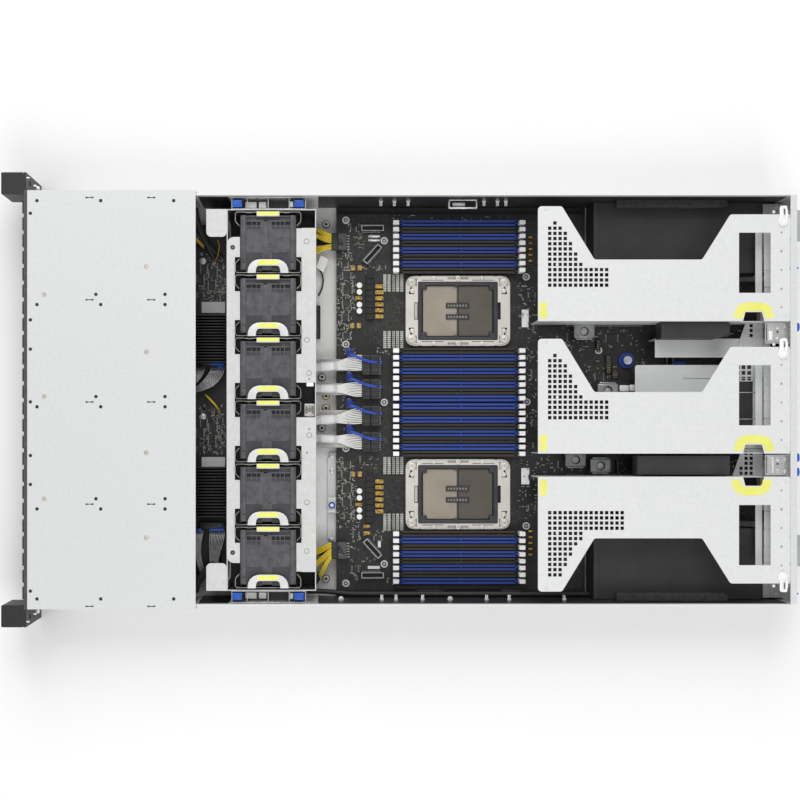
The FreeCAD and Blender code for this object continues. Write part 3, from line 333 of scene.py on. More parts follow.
for bank in (1, 2, 3):
    body = f"levers_{bank}"
    aways = [(bank * 8 + n - 19) * BAY for n in range(8)]
    for name, model, surface, slot in ((f"lever_set_{bank}", lever_model, lever_black, "dark_trim"),
                                       (f"lever_tabs_{bank}", tab_model, touch_blue, "blue_touch"),
                                       (f"lever_lights_{bank}", light_model, lamp_green, "white_plastic")):
        fasten(name, [copy_of(model, away) for away in aways], surface, body)
    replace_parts(bpy.data.objects[f"lever_set_{bank}"], f"lever_bank_{bank}")
clear_away(lever_model, tab_model, light_model)

# Rack ears. Dark moulded grips over steel flanges that taper back along the tub; each hides a sprung rack
# screw. Two slotted pins and a bright screw show on the flange's edge. The right one has the two push-
# buttons.

ear_plastic = finish("ear plastic", (0.0115, 0.0113, 0.011), (0.021, 0.0205, 0.020), 0.5, 0.0, 260, bump=0.2)
button_white = finish("button face", (0.62, 0.62, 0.60), (0.78, 0.78, 0.76), 0.35, 0.0, 80)
dress(ear_plastic, "left_ear", "right_ear")
dress(button_white, "power_button")
dress(touch_blue, "id_button")
pins = []
for side in (-1, 1):
    pins += [brick(side * x, y, 1.6, long, (84, 88.0), 0.5)
             for x, y, long in ((235.4, -404.8, 4.8), (227.2, -396.7, 3.6))]
    pins.append(turned(side * 224.6, -393.4, (84, 88.0), 1.9, 0.4, 16))
fasten("ear_pins", pins, bright_post)

# Switch board. A dark circuit board behind the drives, on two rails, with two black finned coolers, small
# soldered parts and chips, a bare paper strip by each cooler, and silver drive cables on blue-tabbed plugs.

BOARD = 12.0

resist = finish("solder resist", (0.010, 0.011, 0.011), (0.026, 0.027, 0.026), 0.38, 0.0, 90, bump=0.06,
                bump_grain=700)
fin_black = finish("black anodised", (0.012, 0.012, 0.013), (0.028, 0.028, 0.030), 0.35, 0.3, 60)
part_black = finish("part black", (0.016, 0.016, 0.017), (0.034, 0.034, 0.036), 0.42, 0.0, 120, bump=0.08)
tin = finish("tin", (0.42, 0.42, 0.40), (0.70, 0.70, 0.67), 0.34, 0.45, 200)
tan_ceramic = finish("ceramic tan", (0.24, 0.19, 0.13), (0.40, 0.33, 0.24), 0.45, 0.0, 200)
grey_ceramic = finish("ceramic grey", (0.13, 0.124, 0.118), (0.29, 0.278, 0.26), 0.5, 0.0, 200)
print_and_rim_highlight = finish("board print and rim highlight", (0.34, 0.34, 0.33), (0.50, 0.50, 0.48), 0.6, 0.0, 300)
screw_steel = finish("screw steel", (0.56, 0.57, 0.58), (0.84, 0.85, 0.86), 0.3, 0.5, 150)
paper = finish("bare label", (0.78, 0.78, 0.77), (0.90, 0.90, 0.89), 0.6, 0.0, 60)
dress(resist, "drive_boards")
dress(fin_black, "bridge_heatsinks")


def at_size(model, x, y, quarter, size):
    """A copy of a small part made on the board at the origin: scaled, turned by quarters and set down."""
    made = copy_of(model, 0, 0, -BOARD)
    made.data.transform(Matrix.Diagonal((size, size, size, 1)))
    return moved(made, x, y, BOARD, 90 * quarter)


def solder_down(name, fields, seed):
    """Small two-ended parts strewn over (low x, high x, low y, high y, how many) fields on a fine grid."""
    random.seed(seed)
    grid = 1.6
    body_model = brick(0, 0, 2.2, 1.1, (BOARD, BOARD + 0.75), 0.12, 1)
    end_model = as_one([brick(u, 0, 0.45, 1.2, (BOARD, BOARD + 0.8)) for u in (-1.025, 1.025)])
    greys, tans, ends = [], [], []
    for low_x, high_x, low_y, high_y, count in fields:
        for _ in range(count):
            x = round(random.uniform(low_x, high_x) / grid) * grid
            y = round(random.uniform(low_y, high_y) / grid) * grid
            place = (x, y, random.choice((0, 0, 1, 1, 1)), random.choice((0.6, 0.6, 0.8, 0.8, 1.1)))
            (tans if random.random() < 0.35 else greys).append(at_size(body_model, *place))
            ends.append(at_size(end_model, *place))
    fasten(name + "_grey", greys, grey_ceramic)
    fasten(name + "_tan", tans, tan_ceramic)
    fasten(name + "_ends", ends, tin)
    clear_away(body_model, end_model)


def place_chips(name, places):
    """Square black packages with a sunken top, legs down two sides and a printed line before the legs."""
    leg_model = brick(0, 0, 0.4, 1.0, (BOARD, BOARD + 0.5))
    chips, legs, prints = [], [], []
    for x, y, wide, long in places:
        chips.append(press_in(brick(x, y, wide, long, (BOARD + 0.1, BOARD + 1.5), 0.25), 0.5, 0.12, 6e-6))
        for end in (-1, 1):
            for n in range(int(wide)):
                legs.append(copy_of(leg_model, x - wide / 2 + (n + 0.5) * wide / int(wide),
                                    y + end * (long / 2 + 0.3)))
            prints.append(brick(x, y + end * (long / 2 + 1.025), wide + 1.8, 0.25, (BOARD, BOARD + 0.06)))
    fasten(name, chips, part_black)
    fasten(name + "_legs", legs, tin)
    fasten(name + "_prints", prints, print_and_rim_highlight)
    clear_away(leg_model)


def round_wire(spots, radius, rounds=2, steps=6, closed=True):
    """A round wire that runs smoothly past five places in millimetres."""
    drop_selection()
    bpy.ops.curve.primitive_nurbs_path_add(location=(0, 0, 0))
    path = bpy.context.object
    for knot, (x, y, z) in zip(path.data.splines[0].points, spots):
        knot.co = (x * MM, y * MM, z * MM, 1)
    path.data.bevel_depth = radius * MM
    path.data.bevel_resolution = rounds
    path.data.resolution_u = steps
    path.data.use_fill_caps = closed
    take_hold(path)
    bpy.ops.object.convert(target="MESH")
    return settle(bpy.context.object)


def wire_fan(first, last, count, radius):
    """Wires side by side: each runs at its own share of the way from the first route to the last."""
    strands = []
    for n in range(count):
        share = n / max(count - 1, 1)
        spots = [[a + (b - a) * share for a, b in zip(start, stop)] for start, stop in zip(first, last)]
        strands.append(round_wire(spots, radius, 1))
    return strands


def washer_head(x, y, z, radius):
    """A screw with a washer head and a six-sided recess."""
    cap = turned(x, y, (z + 0.9, z + 2.1), radius * 0.72, 0.5, 24)
    cut_from(cap, [turned(x, y, (z + 1.2, z + 3.2), radius * 0.34, 0, 6)])
    return as_one([turned(x, y, (z, z + 1.0), radius, 0.35, 24), cap])


SECOND_BOARD = 171.0
fields, chip_spots = [], []
for away in (0.0, SECOND_BOARD):
    fields += [(away - 168, away - 140, -228, -203, 40), (away - 140, away - 112, -228, -200, 90),
               (away - 160, away - 118, -214, -200, 46)]
    chip_spots += [(away + x, y, wide, long) for x, y, wide, long in (
        (-147, -223, 9, 6), (-136, -227, 10, 7), (-142, -213, 9, 8), (-129, -214, 10, 7),
        (-150, -205, 5, 5), (-118, -227, 7, 6), (-160, -209, 6, 4), (-132, -202, 5, 4))]
solder_down("switch_parts", fields, 7)
place_chips("switch_chips", chip_spots)
strips = [billet(x, (-225.6, -199.6), (BOARD, BOARD + 0.25), 0.1, 1) for x in ((-110.6, -98.4), (61.8, 73.4))]
fasten("switch_strips", strips, paper)
heads = [washer_head(x, -224.2, BOARD + 0.1, 3.6) for x in (-155.8, 17.2)]
fasten("switch_screws", heads, screw_steel)

silver_wire = finish("silver wire", (0.34, 0.335, 0.33), (0.72, 0.71, 0.70), 0.3, 0.55, 260, contrast=0.8)
sleeve_black = finish("black sleeve", (0.016, 0.016, 0.017), (0.036, 0.036, 0.038), 0.55, 0.0, 200)
wire_gold = finish("amber wire", (0.42, 0.26, 0.03), (0.60, 0.40, 0.06), 0.4, 0.0, 60)
yellow_wire = finish("yellow wire", (0.78, 0.56, 0.02), (0.92, 0.72, 0.05), 0.36, 0.0, 60)
plugs = [billet(x, y, (BOARD, 27), 0.6) for x, y in (((-46.4, -39.4), (-225, -199.4)),
                                                     ((133.4, 140.6), (-226, -199.2)))]
tabs = [billet((x - 1.5, x + 1.5), y, (27.0, 28.6), 0.4) for x, y in (
    (-40.6, (-214.0, -199.2)), (-37.2, (-207.0, -200.0)), (141.8, (-216.0, -199.4)),
    (141.8, (-230.0, -224.0)), (136.6, (-206.0, -203.0)))]
strands = wire_fan([(-38, -213.5, 25), (-33, -214, 30), (-27, -217, 30), (-20, -224, 27), (-14, -233, 20)],
                   [(-38, -199.5, 25), (-33, -199.5, 31), (-23, -201, 31), (-13, -212, 28), (-10, -233, 22)],
                   10, 0.62)
strands += wire_fan([(-38, -232, 22), (-34, -232, 27), (-30, -233, 27), (-27, -234, 25), (-24, -235, 20)],
                    [(-38, -221, 22), (-34, -221, 28), (-28, -223, 28), (-21, -229, 26), (-17, -235, 20)], 8,
                    0.62)
strands += wire_fan([(143, -215, 25), (148, -215, 31), (158, -215.5, 32), (168, -215.5, 30), (180, -215, 26)],
                    [(143, -199.5, 25), (148, -199, 31), (156, -200, 32), (166, -205, 30), (180, -207, 26)],
                    10, 0.62)
strands += wire_fan([(143, -232, 22), (150, -232, 28), (166, -232, 28), (184, -230, 26), (198, -222, 22)],
                    [(143, -223, 22), (150, -224, 28), (164, -228, 28), (182, -226, 26), (200, -216, 22)], 8,
                    0.62)
fasten("drive_cable_plugs", plugs, part_black)
fasten("drive_cable_tabs", tabs, touch_blue)
fasten("drive_cables", strands, silver_wire)
looms = [round_wire([(-206, -229, 62), (-192, -229, 48), (-182, -224, 30), (-170, -216, 22),
                     (-160, -212, 15)], 4.0, 3),
         round_wire([(-186, -236, 40), (-182, -228, 34), (-176, -220, 26), (-168, -212, 20),
                     (-160, -204, 15)], 3.2, 3),
         round_wire([(205, -229, 60), (196, -228, 46), (190, -222, 34), (180, -214, 26), (172, -206, 18)],
                    4.2, 3)]
fasten("drive_looms", looms, sleeve_black)
strays = wire_fan([(-181, -232, 36), (-178, -229, 36), (-175, -226, 34), (-173, -224, 31), (-171, -222, 28)],
                  [(-178, -232, 36), (-175, -229, 36), (-172, -226, 34), (-170, -224, 31), (-168, -222, 28)],
                  3, 0.6)
strays.append(round_wire([(-176, -206, 36), (-170, -203, 38), (-164, -204, 36), (-158, -207, 30),
                          (-154, -210, 20)], 0.7))
fasten("drive_stray_wires", strays, wire_gold)
lead = round_wire([(-7, -220.5, 20), (-2, -215, 31), (4, -209, 32), (8, -205.5, 28), (12, -206, 14)], 1.0)
fasten("switch_lead", [lead], yellow_wire)

# Fan cage. Pale galvanised strips, tabs and walls riveted into one frame, with blue push grips in its side
# channels. Rings and rivets are stamped in the strips; each side channel is a bright open box with small
# plates.
# Black sheets painted as shade lie on the channels' floors, beside and under the fans, and low at the cage's
# rear.

cage_white = finish("cage sheet", (0.62, 0.62, 0.615), (0.70, 0.70, 0.695), 0.45, 0.1, 240, bump=0.04)
dress(cage_white, "fan_cage", "fan_walls")
dress(touch_blue, "cage_grips")


def torus(x, y, z, across, thick, sides=28, lean=0):
    """A ring that lies flat, or leans over about the X axis."""
    drop_selection()
    bpy.ops.mesh.primitive_torus_add(location=(x * MM, y * MM, z * MM), major_radius=across * MM,
                                     minor_radius=thick * MM, major_segments=sides, minor_segments=6,
                                     rotation=(math.radians(lean), 0, 0))
    return settle(bpy.context.object)


def sheet_cut(points, z):
    """A flat sheet of the given (x, y) outline: a ring is set out on the points, filled and extruded."""
    drop_selection()
    bpy.ops.mesh.primitive_circle_add(vertices=len(points), radius=1, fill_type="NGON")
    piece = bpy.context.object
    for corner, (x, y) in zip(piece.data.vertices, points):
        corner.co = (x * MM, y * MM, z[0] * MM)
    bpy.ops.object.mode_set(mode="EDIT")
    bpy.ops.mesh.select_all(action="SELECT")
    bpy.ops.mesh.extrude_region_move(TRANSFORM_OT_translate={"value": (0, 0, (z[1] - z[0]) * MM)})
    bpy.ops.mesh.select_all(action="SELECT")
    bpy.ops.mesh.normals_make_consistent(inside=False)
    bpy.ops.object.mode_set(mode="OBJECT")
    return settle(piece)


corner_spots = ((-162.6, -187.1), (162.6, -187.1))
marks = [torus(x, y, 81.0, 2.6, 0.28) for x, y in ((-169.0, -108.3), (-64.0, -108.0), (-28.6, -105.8),
                                                   (37.5, -105.6), (109.0, -108.0), (161.0, -108.2))]
marks += [turned(x, y, (80.9, 81.15), 1.0, 0.08, 14)
          for x, y in ((-22.3, -105.6), (31.1, -105.6), (56.2, -107.9), *corner_spots)]
fasten("strip_marks", marks, grey_ceramic)
eyelets = [cut_from(turned(x, y, (80.9, 81.35), 2.5, 0.15, 24), [turned(x, y, (81.1, 82), 1.7, 0, 20)])
           for x, y in corner_spots]
fasten("strip_eyelets", eyelets, part_black)
boxes, shade_sheets, blues = [], [], []
for side in (-1, 1):
    for x in (204.05, 215.95):
        boxes.append(billet((side * (x - 0.55), side * (x + 0.55)), (-189, -109.2), (66.0, 78.5), 0.3, 1))
    for y in (-188.4, -172.0, -149.5, -127.0, -109.8):
        boxes.append(brick(side * 210.0, y, 10.8, 1.2, (66.0, 74.0), 0.3, 1))
    # Painted shade: a black sheet on each channel's floor and one standing beside the fans.
    shade_sheets.append(billet((side * 204.8, side * 215.2), (-187.6, -110.6), (66.0, 66.4), 0.2, 1))
    shade_sheets.append(billet((side * 202.2, side * 201.8), (-192.4, -99.4), (20, 79.6), 0.1, 1))
    for low, high, top in ((-174.5, -162.0, 67.0), (-160.0, -151.5, 67.0), (-127.0, -122.5, 72.0)):
        boxes.append(billet((side * 206.4, side * 213.2), (low, high), (66.2, top), 0.4, 1))
    for low, high in ((-188.0, -176.7), (-122.1, -110.8)):
        inner, outer = side * 205.7, side * 213.1
        pad = sheet_cut([(inner, low), (inner, high), (outer, high - 1.8), (outer, low + 1.8)], (79.9, 81.2))
        blues.append(round_edges(pad, 0.4))
        for u in (-3.2, 0, 3.2):
            blues.append(brick(side * 209.4, (low + high) / 2 + u, 4.8, 1.0, (81.0, 81.9), 0.3, 1))
# Painted shade: a black sheet under all the fans, and a low one at the cage's rear.
shade_sheets.append(billet((-202.0, 202.0), (-192.2, -99.6), (19.75, 20.05), 0.1, 1))
shade_sheets.append(billet((-201.8, 201.8), (-99.35, -99.6), (20, 30), 0.1, 1))
fasten("channel_boxes", boxes, bright_post)
fasten("channel_painted_shade", shade_sheets, black_and_painted_shade)
fasten("grip_pads", blues, touch_blue)

# Fan modules. Six dark moulded housings with raised ribs, small windows and sunken panels on top. A bent
# spring-steel sheet on each flank clips into the cage; one carries a short pull bar, the other an arched
# finger handle, both with a pale yellow touch label. One module is modelled and copied to each bay.

FAN_PITCH = 67.0
FAN_X = -2.5 * FAN_PITCH
FAN_Y = -149.3
FAN_MIDDLE = 51.0


def fan_block(u, a, z, edge=0.0, rounds=2):
    """A block of the first module: u towards the right wall, a towards the rear, from the fan's middle."""
    return billet((FAN_X + u[0], FAN_X + u[1]), (FAN_Y + a[0], FAN_Y + a[1]), z, edge, rounds)


def fan_sheet(points, z):
    return sheet_cut([(FAN_X + u, FAN_Y + a) for u, a in points], z)


def mirrored(half):
    """Closes an outline with the same points on the other side of its middle line."""
    return half + [(u, -a) for u, a in reversed(half)]


def bent_strip(points, thick, z):
    """A strip standing on edge, bent to follow (u, a) places."""
    left, right = [], []
    for n, (u, a) in enumerate(points):
        before = Vector(points[max(n - 1, 0)])
        after = Vector(points[min(n + 1, len(points) - 1)])
        along = (after - before).normalized() * thick / 2
        left.append((u - along.y, a + along.x))
        right.append((u + along.y, a - along.x))
    return fan_sheet(left + right[::-1], z)


housing = fan_block((-29.4, 29.4), (-29.7, 29.7), (20.2, 81.6), 1.1, 3)
cut_from(housing, [lying(FAN_X, (FAN_Y - 31, FAN_Y + 31), FAN_MIDDLE, 28.6, 0, 64)])
pockets = []
for a in ((-22.9, -18.0), (-17.1, -12.8), (-12.0, -8.2), (3.8, 7.6), (8.6, 12.3), (13.3, 16.8), (17.9, 23.3)):
    pockets.append(fan_block((-22.4, -18.2), a, (77.5, 84)))
    pockets.append(fan_block((-17.0, -13.4), a, (80.2, 84)))
for u, a, floor in (((-27.4, -23.4), (-23.4, 23.4), 79.6), ((10.6, 31), (-23.6, -6.2), 81.0),
                    ((10.6, 31), (4.0, 23.4), 81.0), ((1.0, 10.0), (0.2, 3.1), 80.6)):
    pockets.append(fan_block(u, a, (floor, 84)))
for side in (-1, 1):
    pockets += [fan_block((side * 28.6, side * 31), (-22, 22), (z - 3, z + 3))
                for z in (27.0, 36.0, 66.0, 75.0)]
cut_from(housing, pockets)
ribs = [fan_block(u, (end * 25.7 - 1.9, end * 25.7 + 1.9), (81.4, 82.9), 0.5)
        for u in ((-29.2, 20.6), (21.6, 28.6)) for end in (-1, 1)]
ribs.append(fan_block((-24.0, -22.2), (-23.6, 23.6), (80.8, 81.9), 0.3))
ribs.append(fan_block((-24.4, 20), (-4.9, -0.6), (81.3, 81.9), 0.25))
ribs.append(fan_block((-10.6, -7.4), (0.4, 3.4), (81.3, 81.8), 0.2))
for a in (-20.4, -15.0, -10.0, 5.6, 10.4, 15.0, 20.4):
    ribs.append(fan_block((-14.4, -12.4), (a - 0.9, a + 0.9), (81.3, 81.75), 0.2))
ribs.append(torus(FAN_X + 2.5, FAN_Y + 17.0, 81.6, 8.2, 0.4, 32))
guards = [torus(FAN_X, FAN_Y + 28.6, FAN_MIDDLE, radius, 0.7, 40, 90) for radius in (9.5, 16.0, 22.5)]
for degrees in (22, 67, 112, 157):
    strut = billet((-28.5, 28.5), (-0.8, 0.8), (-0.75, 0.75))
    guards.append(moved(strut, FAN_X, FAN_Y + 27.6, FAN_MIDDLE, degrees, "Y"))
motor = lying(FAN_X, (FAN_Y + 12.0, FAN_Y + 26.4), FAN_MIDDLE, 12.3, 1.0, 40)
shell_model = as_one([housing, motor] + ribs + guards)

clips = []
for side in (-1, 1):
    for end in (-1, 1):
        wave = ((32.3, 12.0), (31.4, 20.0), (32.3, 27.0), (32.2, 33.2), (30.4, 34.8), (25.0, 34.8),
                (21.8, 34.4), (17.8, 30.6))
        clips.append(bent_strip([(side * u, end * a) for u, a in wave], 0.7, (60.0, 84.6)))
        clips.append(fan_block((side * 29.3, side * 32.2), (end * 20, end * 24), (22, 34), 0.3, 1))
    clips.append(fan_block((side * 31.9, side * 32.7), (-31, 31), (20.4, 83.6), 0.25, 1))
clip_model = as_one(clips)

arch = fan_sheet(mirrored([(24.9, 9.6), (25.8, 11.4), (27.6, 12.4), (32.7, 13.2), (32.7, 21.9), (27.4, 21.2),
                           (23.4, 19.4), (20.4, 16.2), (18.8, 12.6), (18.2, 9.0)]), (84.9, 85.85))
bar = fan_block((-32.7, -27.5), (-12.2, 12.2), (84.3, 85.8), 0.4)
neck = fan_block((-32.7, -31.6), (-12.2, 12.2), (70, 85.6), 0.3)
grip_model = as_one([round_edges(arch, 0.25), bar, neck])
pad_model = as_one([fan_block((11.0, 30.4), a, (80.9, 81.2)) for a in ((-23.2, -6.6), (4.4, 23.0))])
label_model = as_one([
    fan_sheet(mirrored([(23.9, 9.2), (23.6, 10.6), (22.6, 11.6), (19.0, 9.4)]), (85.8, 86.0)),
    fan_sheet(mirrored([(-28.6, 9.8), (-29.4, 11.0), (-32.4, 11.4)]), (85.75, 85.95))])

fan_grey = finish("fan plastic", (0.050, 0.048, 0.053), (0.118, 0.115, 0.124), 0.5, 0.0, 150, bump=0.15,
                  contrast=0.6)
pad_dark = finish("fan panel", (0.030, 0.028, 0.032), (0.060, 0.056, 0.063), 0.5, 0.0, 70, bump=0.1)
rotor_black = finish("rotor plastic", (0.020, 0.020, 0.023), (0.040, 0.040, 0.044), 0.45, 0.0, 80)
spring_steel = finish("spring steel", (0.24, 0.235, 0.22), (0.56, 0.54, 0.50), 0.3, 0.85, 90, contrast=0.7)
handle_white = finish("handle sheet", (0.68, 0.68, 0.68), (0.78, 0.78, 0.78), 0.42, 0.15, 120, bump=0.03)
touch_yellow = finish("touch label", (0.84, 0.85, 0.14), (0.92, 0.92, 0.22), 0.5, 0.0, 50, bump=0.05)
for n in range(6):
    for kind, model, surface, slot in (("shell", shell_model, fan_grey, "fan_grey"),
                                       ("clips", clip_model, spring_steel, "nickel"),
                                       ("handle", grip_model, handle_white, "galvanised"),
                                       ("labels", label_model, touch_yellow, "white_plastic"),
                                       ("pads", pad_model, pad_dark, "fan_grey")):
        made = fasten(f"fan_{kind}_{n + 1}", [copy_of(model, n * FAN_PITCH)], surface, f"fan_{n + 1}")
        if kind == "shell":
            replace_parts(made, f"fan_module_{n + 1}")
    dress(rotor_black, f"fan_rotor_{n + 1}")
clear_away(shell_model, clip_model, grip_model, label_model, pad_model)

# Main board. A black-lacquered circuit board on brass posts, thick with small soldered parts: black ferrite
# chokes in a row, gold-brown inductors, white polymer capacitors, square controllers, bright screws and rows
# of tinned pads.

def lay_over(surface, factor, colour, blend="MULTIPLY"):
    """Lays a second colour over a surface's own."""
    tree = surface.node_tree
    inputs = {"Factor": factor, "A": (tree.nodes["shades"], "Color"), "B": colour}
    mix = add_node(tree, "Mix", inputs, data_type="RGBA", blend_type=blend)
    tree.links.new(mix.outputs["Result"], tree.nodes["Principled BSDF"].inputs["Base Color"])
    return surface


def copper_lines(surface):
    """Fine buried tracks show through the lacquer as slightly lighter lines."""
    tree = surface.node_tree
    place = (tree.nodes["place"], "Object")
    cells = add_node(tree, "TexVoronoi", {"Scale": 150, "Vector": place}, distance="MANHATTAN",
                     feature="DISTANCE_TO_EDGE")
    thin = add_node(tree, "Math", {0: (cells, "Distance"), 1: 0.03}, operation="LESS_THAN")
    patches = add_node(tree, "TexNoise", {"Scale": 28, "Vector": place})
    where = add_node(tree, "Math", {0: (patches, "Fac"), 1: 0.50}, operation="GREATER_THAN")
    both = add_node(tree, "Math", {0: (thin, "Value"), 1: (where, "Value")}, operation="MULTIPLY")
    return lay_over(surface, (both, "Value"), (0.050, 0.047, 0.042, 1), "MIX")


board_face = finish("board lacquer", (0.0095, 0.0095, 0.009), (0.022, 0.0215, 0.0205), 0.36, 0.0, 46,
                    bump=0.05, bump_grain=500)
dress(copper_lines(board_face), "motherboard")
dress(screw_steel, "screws")

spots = ((-201.0, -65.4), (-178.3, -22.8), (-63.4, -65.4), (1.0, -22.8), (52.1, -65.4), (180.4, -22.8),
         (201.9, -65.4), (-138.2, 134.7), (0.5, 135.4), (138.2, 134.7), (-56.6, 215.0), (96.0, 300.0))
fasten("board_screw_heads", [washer_head(x, y, BOARD + 0.1, 4.1) for x, y in spots], screw_steel)

# Chokes, inductors and capacitors of the two processor supplies.

ferrite = finish("ferrite", (0.006, 0.006, 0.006), (0.016, 0.016, 0.016), 0.62, 0.0, 200, bump=0.1)
gold_brown = finish("inductor amber", (0.20, 0.11, 0.010), (0.66, 0.40, 0.05), 0.32, 0.25, 420, contrast=0.3)
polymer_white = finish("capacitor top", (0.88, 0.88, 0.87), (0.95, 0.95, 0.94), 0.35, 0.0, 120)
CHOKE_PITCH = 6.55
INDUCTOR_PITCH = 6.65
REAR_PITCH = 6.5
CAN_Y = -50.5
chokes, ambers, leads, cans, bases = [], [], [], [], []


def inductor(x, y, wide, long, height):
    """An amber block with a sunken top and a lead at both ends."""
    body = brick(x, y, wide, long, (BOARD, BOARD + height), 0.4)
    ambers.append(press_in(body, 0.8, 0.35, 1e-5))
    for end in (-1, 1):
        leads.append(brick(x, y + end * (long / 2 + 0.1), wide - 0.6, 0.9, (BOARD, BOARD + height - 1.4), 0.2,
                           1))


# (first choke, capacitors, first inductor, lone inductor, upright pairs, flat pairs, rear row)
left_supply = (-142.6, (-128.4, -121.0, -107.0, -100.0), -127.4, -114.6,
               ((-148.1, -57.5), (-148.1, -50.1), (-84.0, -58.4), (-84.0, -51.0)), (), -182.0)
right_supply = (82.2, (99.3, 106.9, 120.4, 127.8), 88.7, 114.5,
                ((80.7, -57.5), (80.7, -50.0)), ((138.6, -42.3), (146.0, -42.3)), 144.0)
for choke_start, can_row, amber_start, lone, upright, flat, rear_start in (left_supply, right_supply):
    for n in range(8):
        choke = brick(choke_start + n * CHOKE_PITCH + 3.0, -38.9, 6.0, 8.6, (BOARD, BOARD + 5.6), 0.35)
        chokes.append(press_in(choke, 1.0, 0.5, 1e-5))
    for n in range(6):
        inductor(amber_start + n * INDUCTOR_PITCH, -28.3, 4.4, 8.0, 4.4)
    for x in can_row:
        can = turned(x, CAN_Y, (BOARD, BOARD + 7.9), 3.1, 0.5, 28)
        cans.append(press_in(can, 0.5, 0.15, 1e-5, 0.99))
        bases.append(brick(x, CAN_Y, 6.4, 6.4, (BOARD, BOARD + 1.2), 0.5))
    inductor(lone, -51.2, 4.0, 6.4, 4.2)
    for x, y in upright:
        inductor(x, y, 5.8, 3.6, 3.8)
    for x, y in flat:
        inductor(x, y, 3.6, 6.0, 3.8)
    ambers += [brick(rear_start + n * REAR_PITCH, 139.5, 2.0, 4.2, (BOARD, BOARD + 2.6), 0.3)
               for n in range(5)]
for x, y, wide, long, height in ((11.0, 173.0, 26.0, 26.0, 3.0), (-24.0, 196.0, 12.0, 12.0, 2.0),
                                 (28.5, 238.5, 17.0, 17.0, 2.2), (-103.0, 175.0, 14.0, 20.0, 3.0),
                                 (119.0, 175.0, 14.0, 20.0, 3.0), (65.0, 190.0, 10.0, 10.0, 2.0)):
    chip = brick(x, y, wide, long, (BOARD, BOARD + height), 0.3)
    chokes.append(press_in(chip, 1.6, -0.4, 5e-5))
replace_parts(fasten("supply_chokes", chokes, ferrite), "board_parts")
fasten("supply_inductors", ambers, gold_brown)
fasten("inductor_leads", leads, tin)
fasten("capacitor_cans", cans, polymer_white)
fasten("capacitor_bases", bases, part_black)

# Tinned pad fields beside each processor, in five columns of nine pairs; the middle pairs stand closer.

PAD_PITCH = 2.15
COLUMN_PITCH = 4.7
pad_model = turned(0, 0, (BOARD, BOARD + 0.12), 1.0, 0.0, 8)
pads = []
for x in (-140.2, -77.3, 62.6, 125.5):
    for row in range(9):
        for column, gap in enumerate((1.7, 1.7, 1.02, 1.7, 1.7)):
            y = column * COLUMN_PITCH - 21.2
            pads += [copy_of(pad_model, x + row * PAD_PITCH, place) for place in (y, y - gap)]
clear_away(pad_model)
fasten("tinned_pads", pads, tin)

# Small soldered parts: resistors and capacitors with tinned ends, square chips with legs, and their printed
# outlines, laid out in the groups that the board has round its sockets and connectors.

# (low x, high x, low y, high y, how many)
solder_down("small_parts", (
    (-198, -186, -62, -50, 16), (-186, -170, -58, -44, 20), (-165, -145, -70, -58, 26),
    (-150, -130, -72, -56, 34), (-128, -98, -72, -57, 46), (-96, -66, -74, -58, 44),
    (-60, -50, -70, -52, 14), (-60, -52, -32, -18, 10), (62, 96, -74, -57, 46), (98, 130, -72, -57, 46),
    (130, 165, -60, -50, 30), (143, 150, -50, -24, 12), (172, 178, -50, -24, 10), (176, 200, -60, -50, 22),
    (60, 76, -50, -30, 16), (196, 208, -20, 10, 14), (-150, -143, -46, -24, 12), (-30, -2, -72, -62, 14),
    (2, 30, -72, -62, 14), (-205, -199, 20, 120, 20), (-60, -45, 134, 150, 12), (-40, -5, 134, 156, 36),
    (5, 50, 134, 156, 36), (-133, -66, 126, 150, 46), (66, 130, 126, 150, 46), (-64, -50, 160, 200, 26),
    (-132, -104, 150, 164, 24), (104, 132, 150, 164, 24), (-45, -10, 200, 236, 40), (10, 48, 200, 228, 34),
    (-160, -60, -76, -62, 70), (66, 140, -76, -62, 56), (-140, -100, -58, -54.5, 20),
    (86, 130, -58, -54.5, 22), (58, 82, 150, 245, 60), (-82, -60, 150, 262, 64), (-58, -40, 258, 268, 10),
    (60, 80, 345, 385, 18), (-80, -66, 345, 385, 14), (100, 130, 180, 260, 40), (-130, -100, 190, 290, 50),
    (-208, -202, -15, 10, 8),
), 41)

# (middle x, middle y, width, length)
place_chips("chips", (
    (-191.5, -57.0, 5, 5), (-168.0, -66.0, 6, 5), (-152.0, -66.5, 5, 6), (-139.5, -64.5, 7.5, 7.5),
    (-124.5, -63.5, 9, 9), (-109.5, -64.5, 8, 8), (-92.5, -66.0, 6, 6), (-73.0, -64.5, 7, 7),
    (70.0, -64.5, 7, 7), (82.0, -65.0, 8, 8), (97.0, -64.0, 9, 9), (112.0, -64.5, 8, 8),
    (128.0, -63.5, 6, 6), (148.0, -54.0, 7, 5), (186.0, -55.0, 6, 6), (152.0, -30.0, 5, 7),
    (-149.0, -24.5, 4, 5), (-30.0, 146.0, 9, 9), (24.0, 146.0, 7, 9), (-118.0, 141.0, 6, 6),
    (-84.0, 140.0, 6, 5), (84.0, 140.0, 6, 5), (118.0, 141.0, 6, 6), (-27.0, 216.0, 8, 8),
    (30.0, 212.0, 9, 7), (70.0, 175.0, 8, 8), (70.0, 220.0, 9, 12), (-70.0, 175.0, 6, 10),
    (-70.0, 230.0, 8, 12), (-115.0, 205.0, 12, 12), (-115.0, 240.0, 8, 14), (115.0, 205.0, 12, 12),
    (115.0, 245.0, 8, 14), (-57.0, 180.0, 6, 8),
))

# A black moulded strip stiffens the board's right edge and stands on two feet.

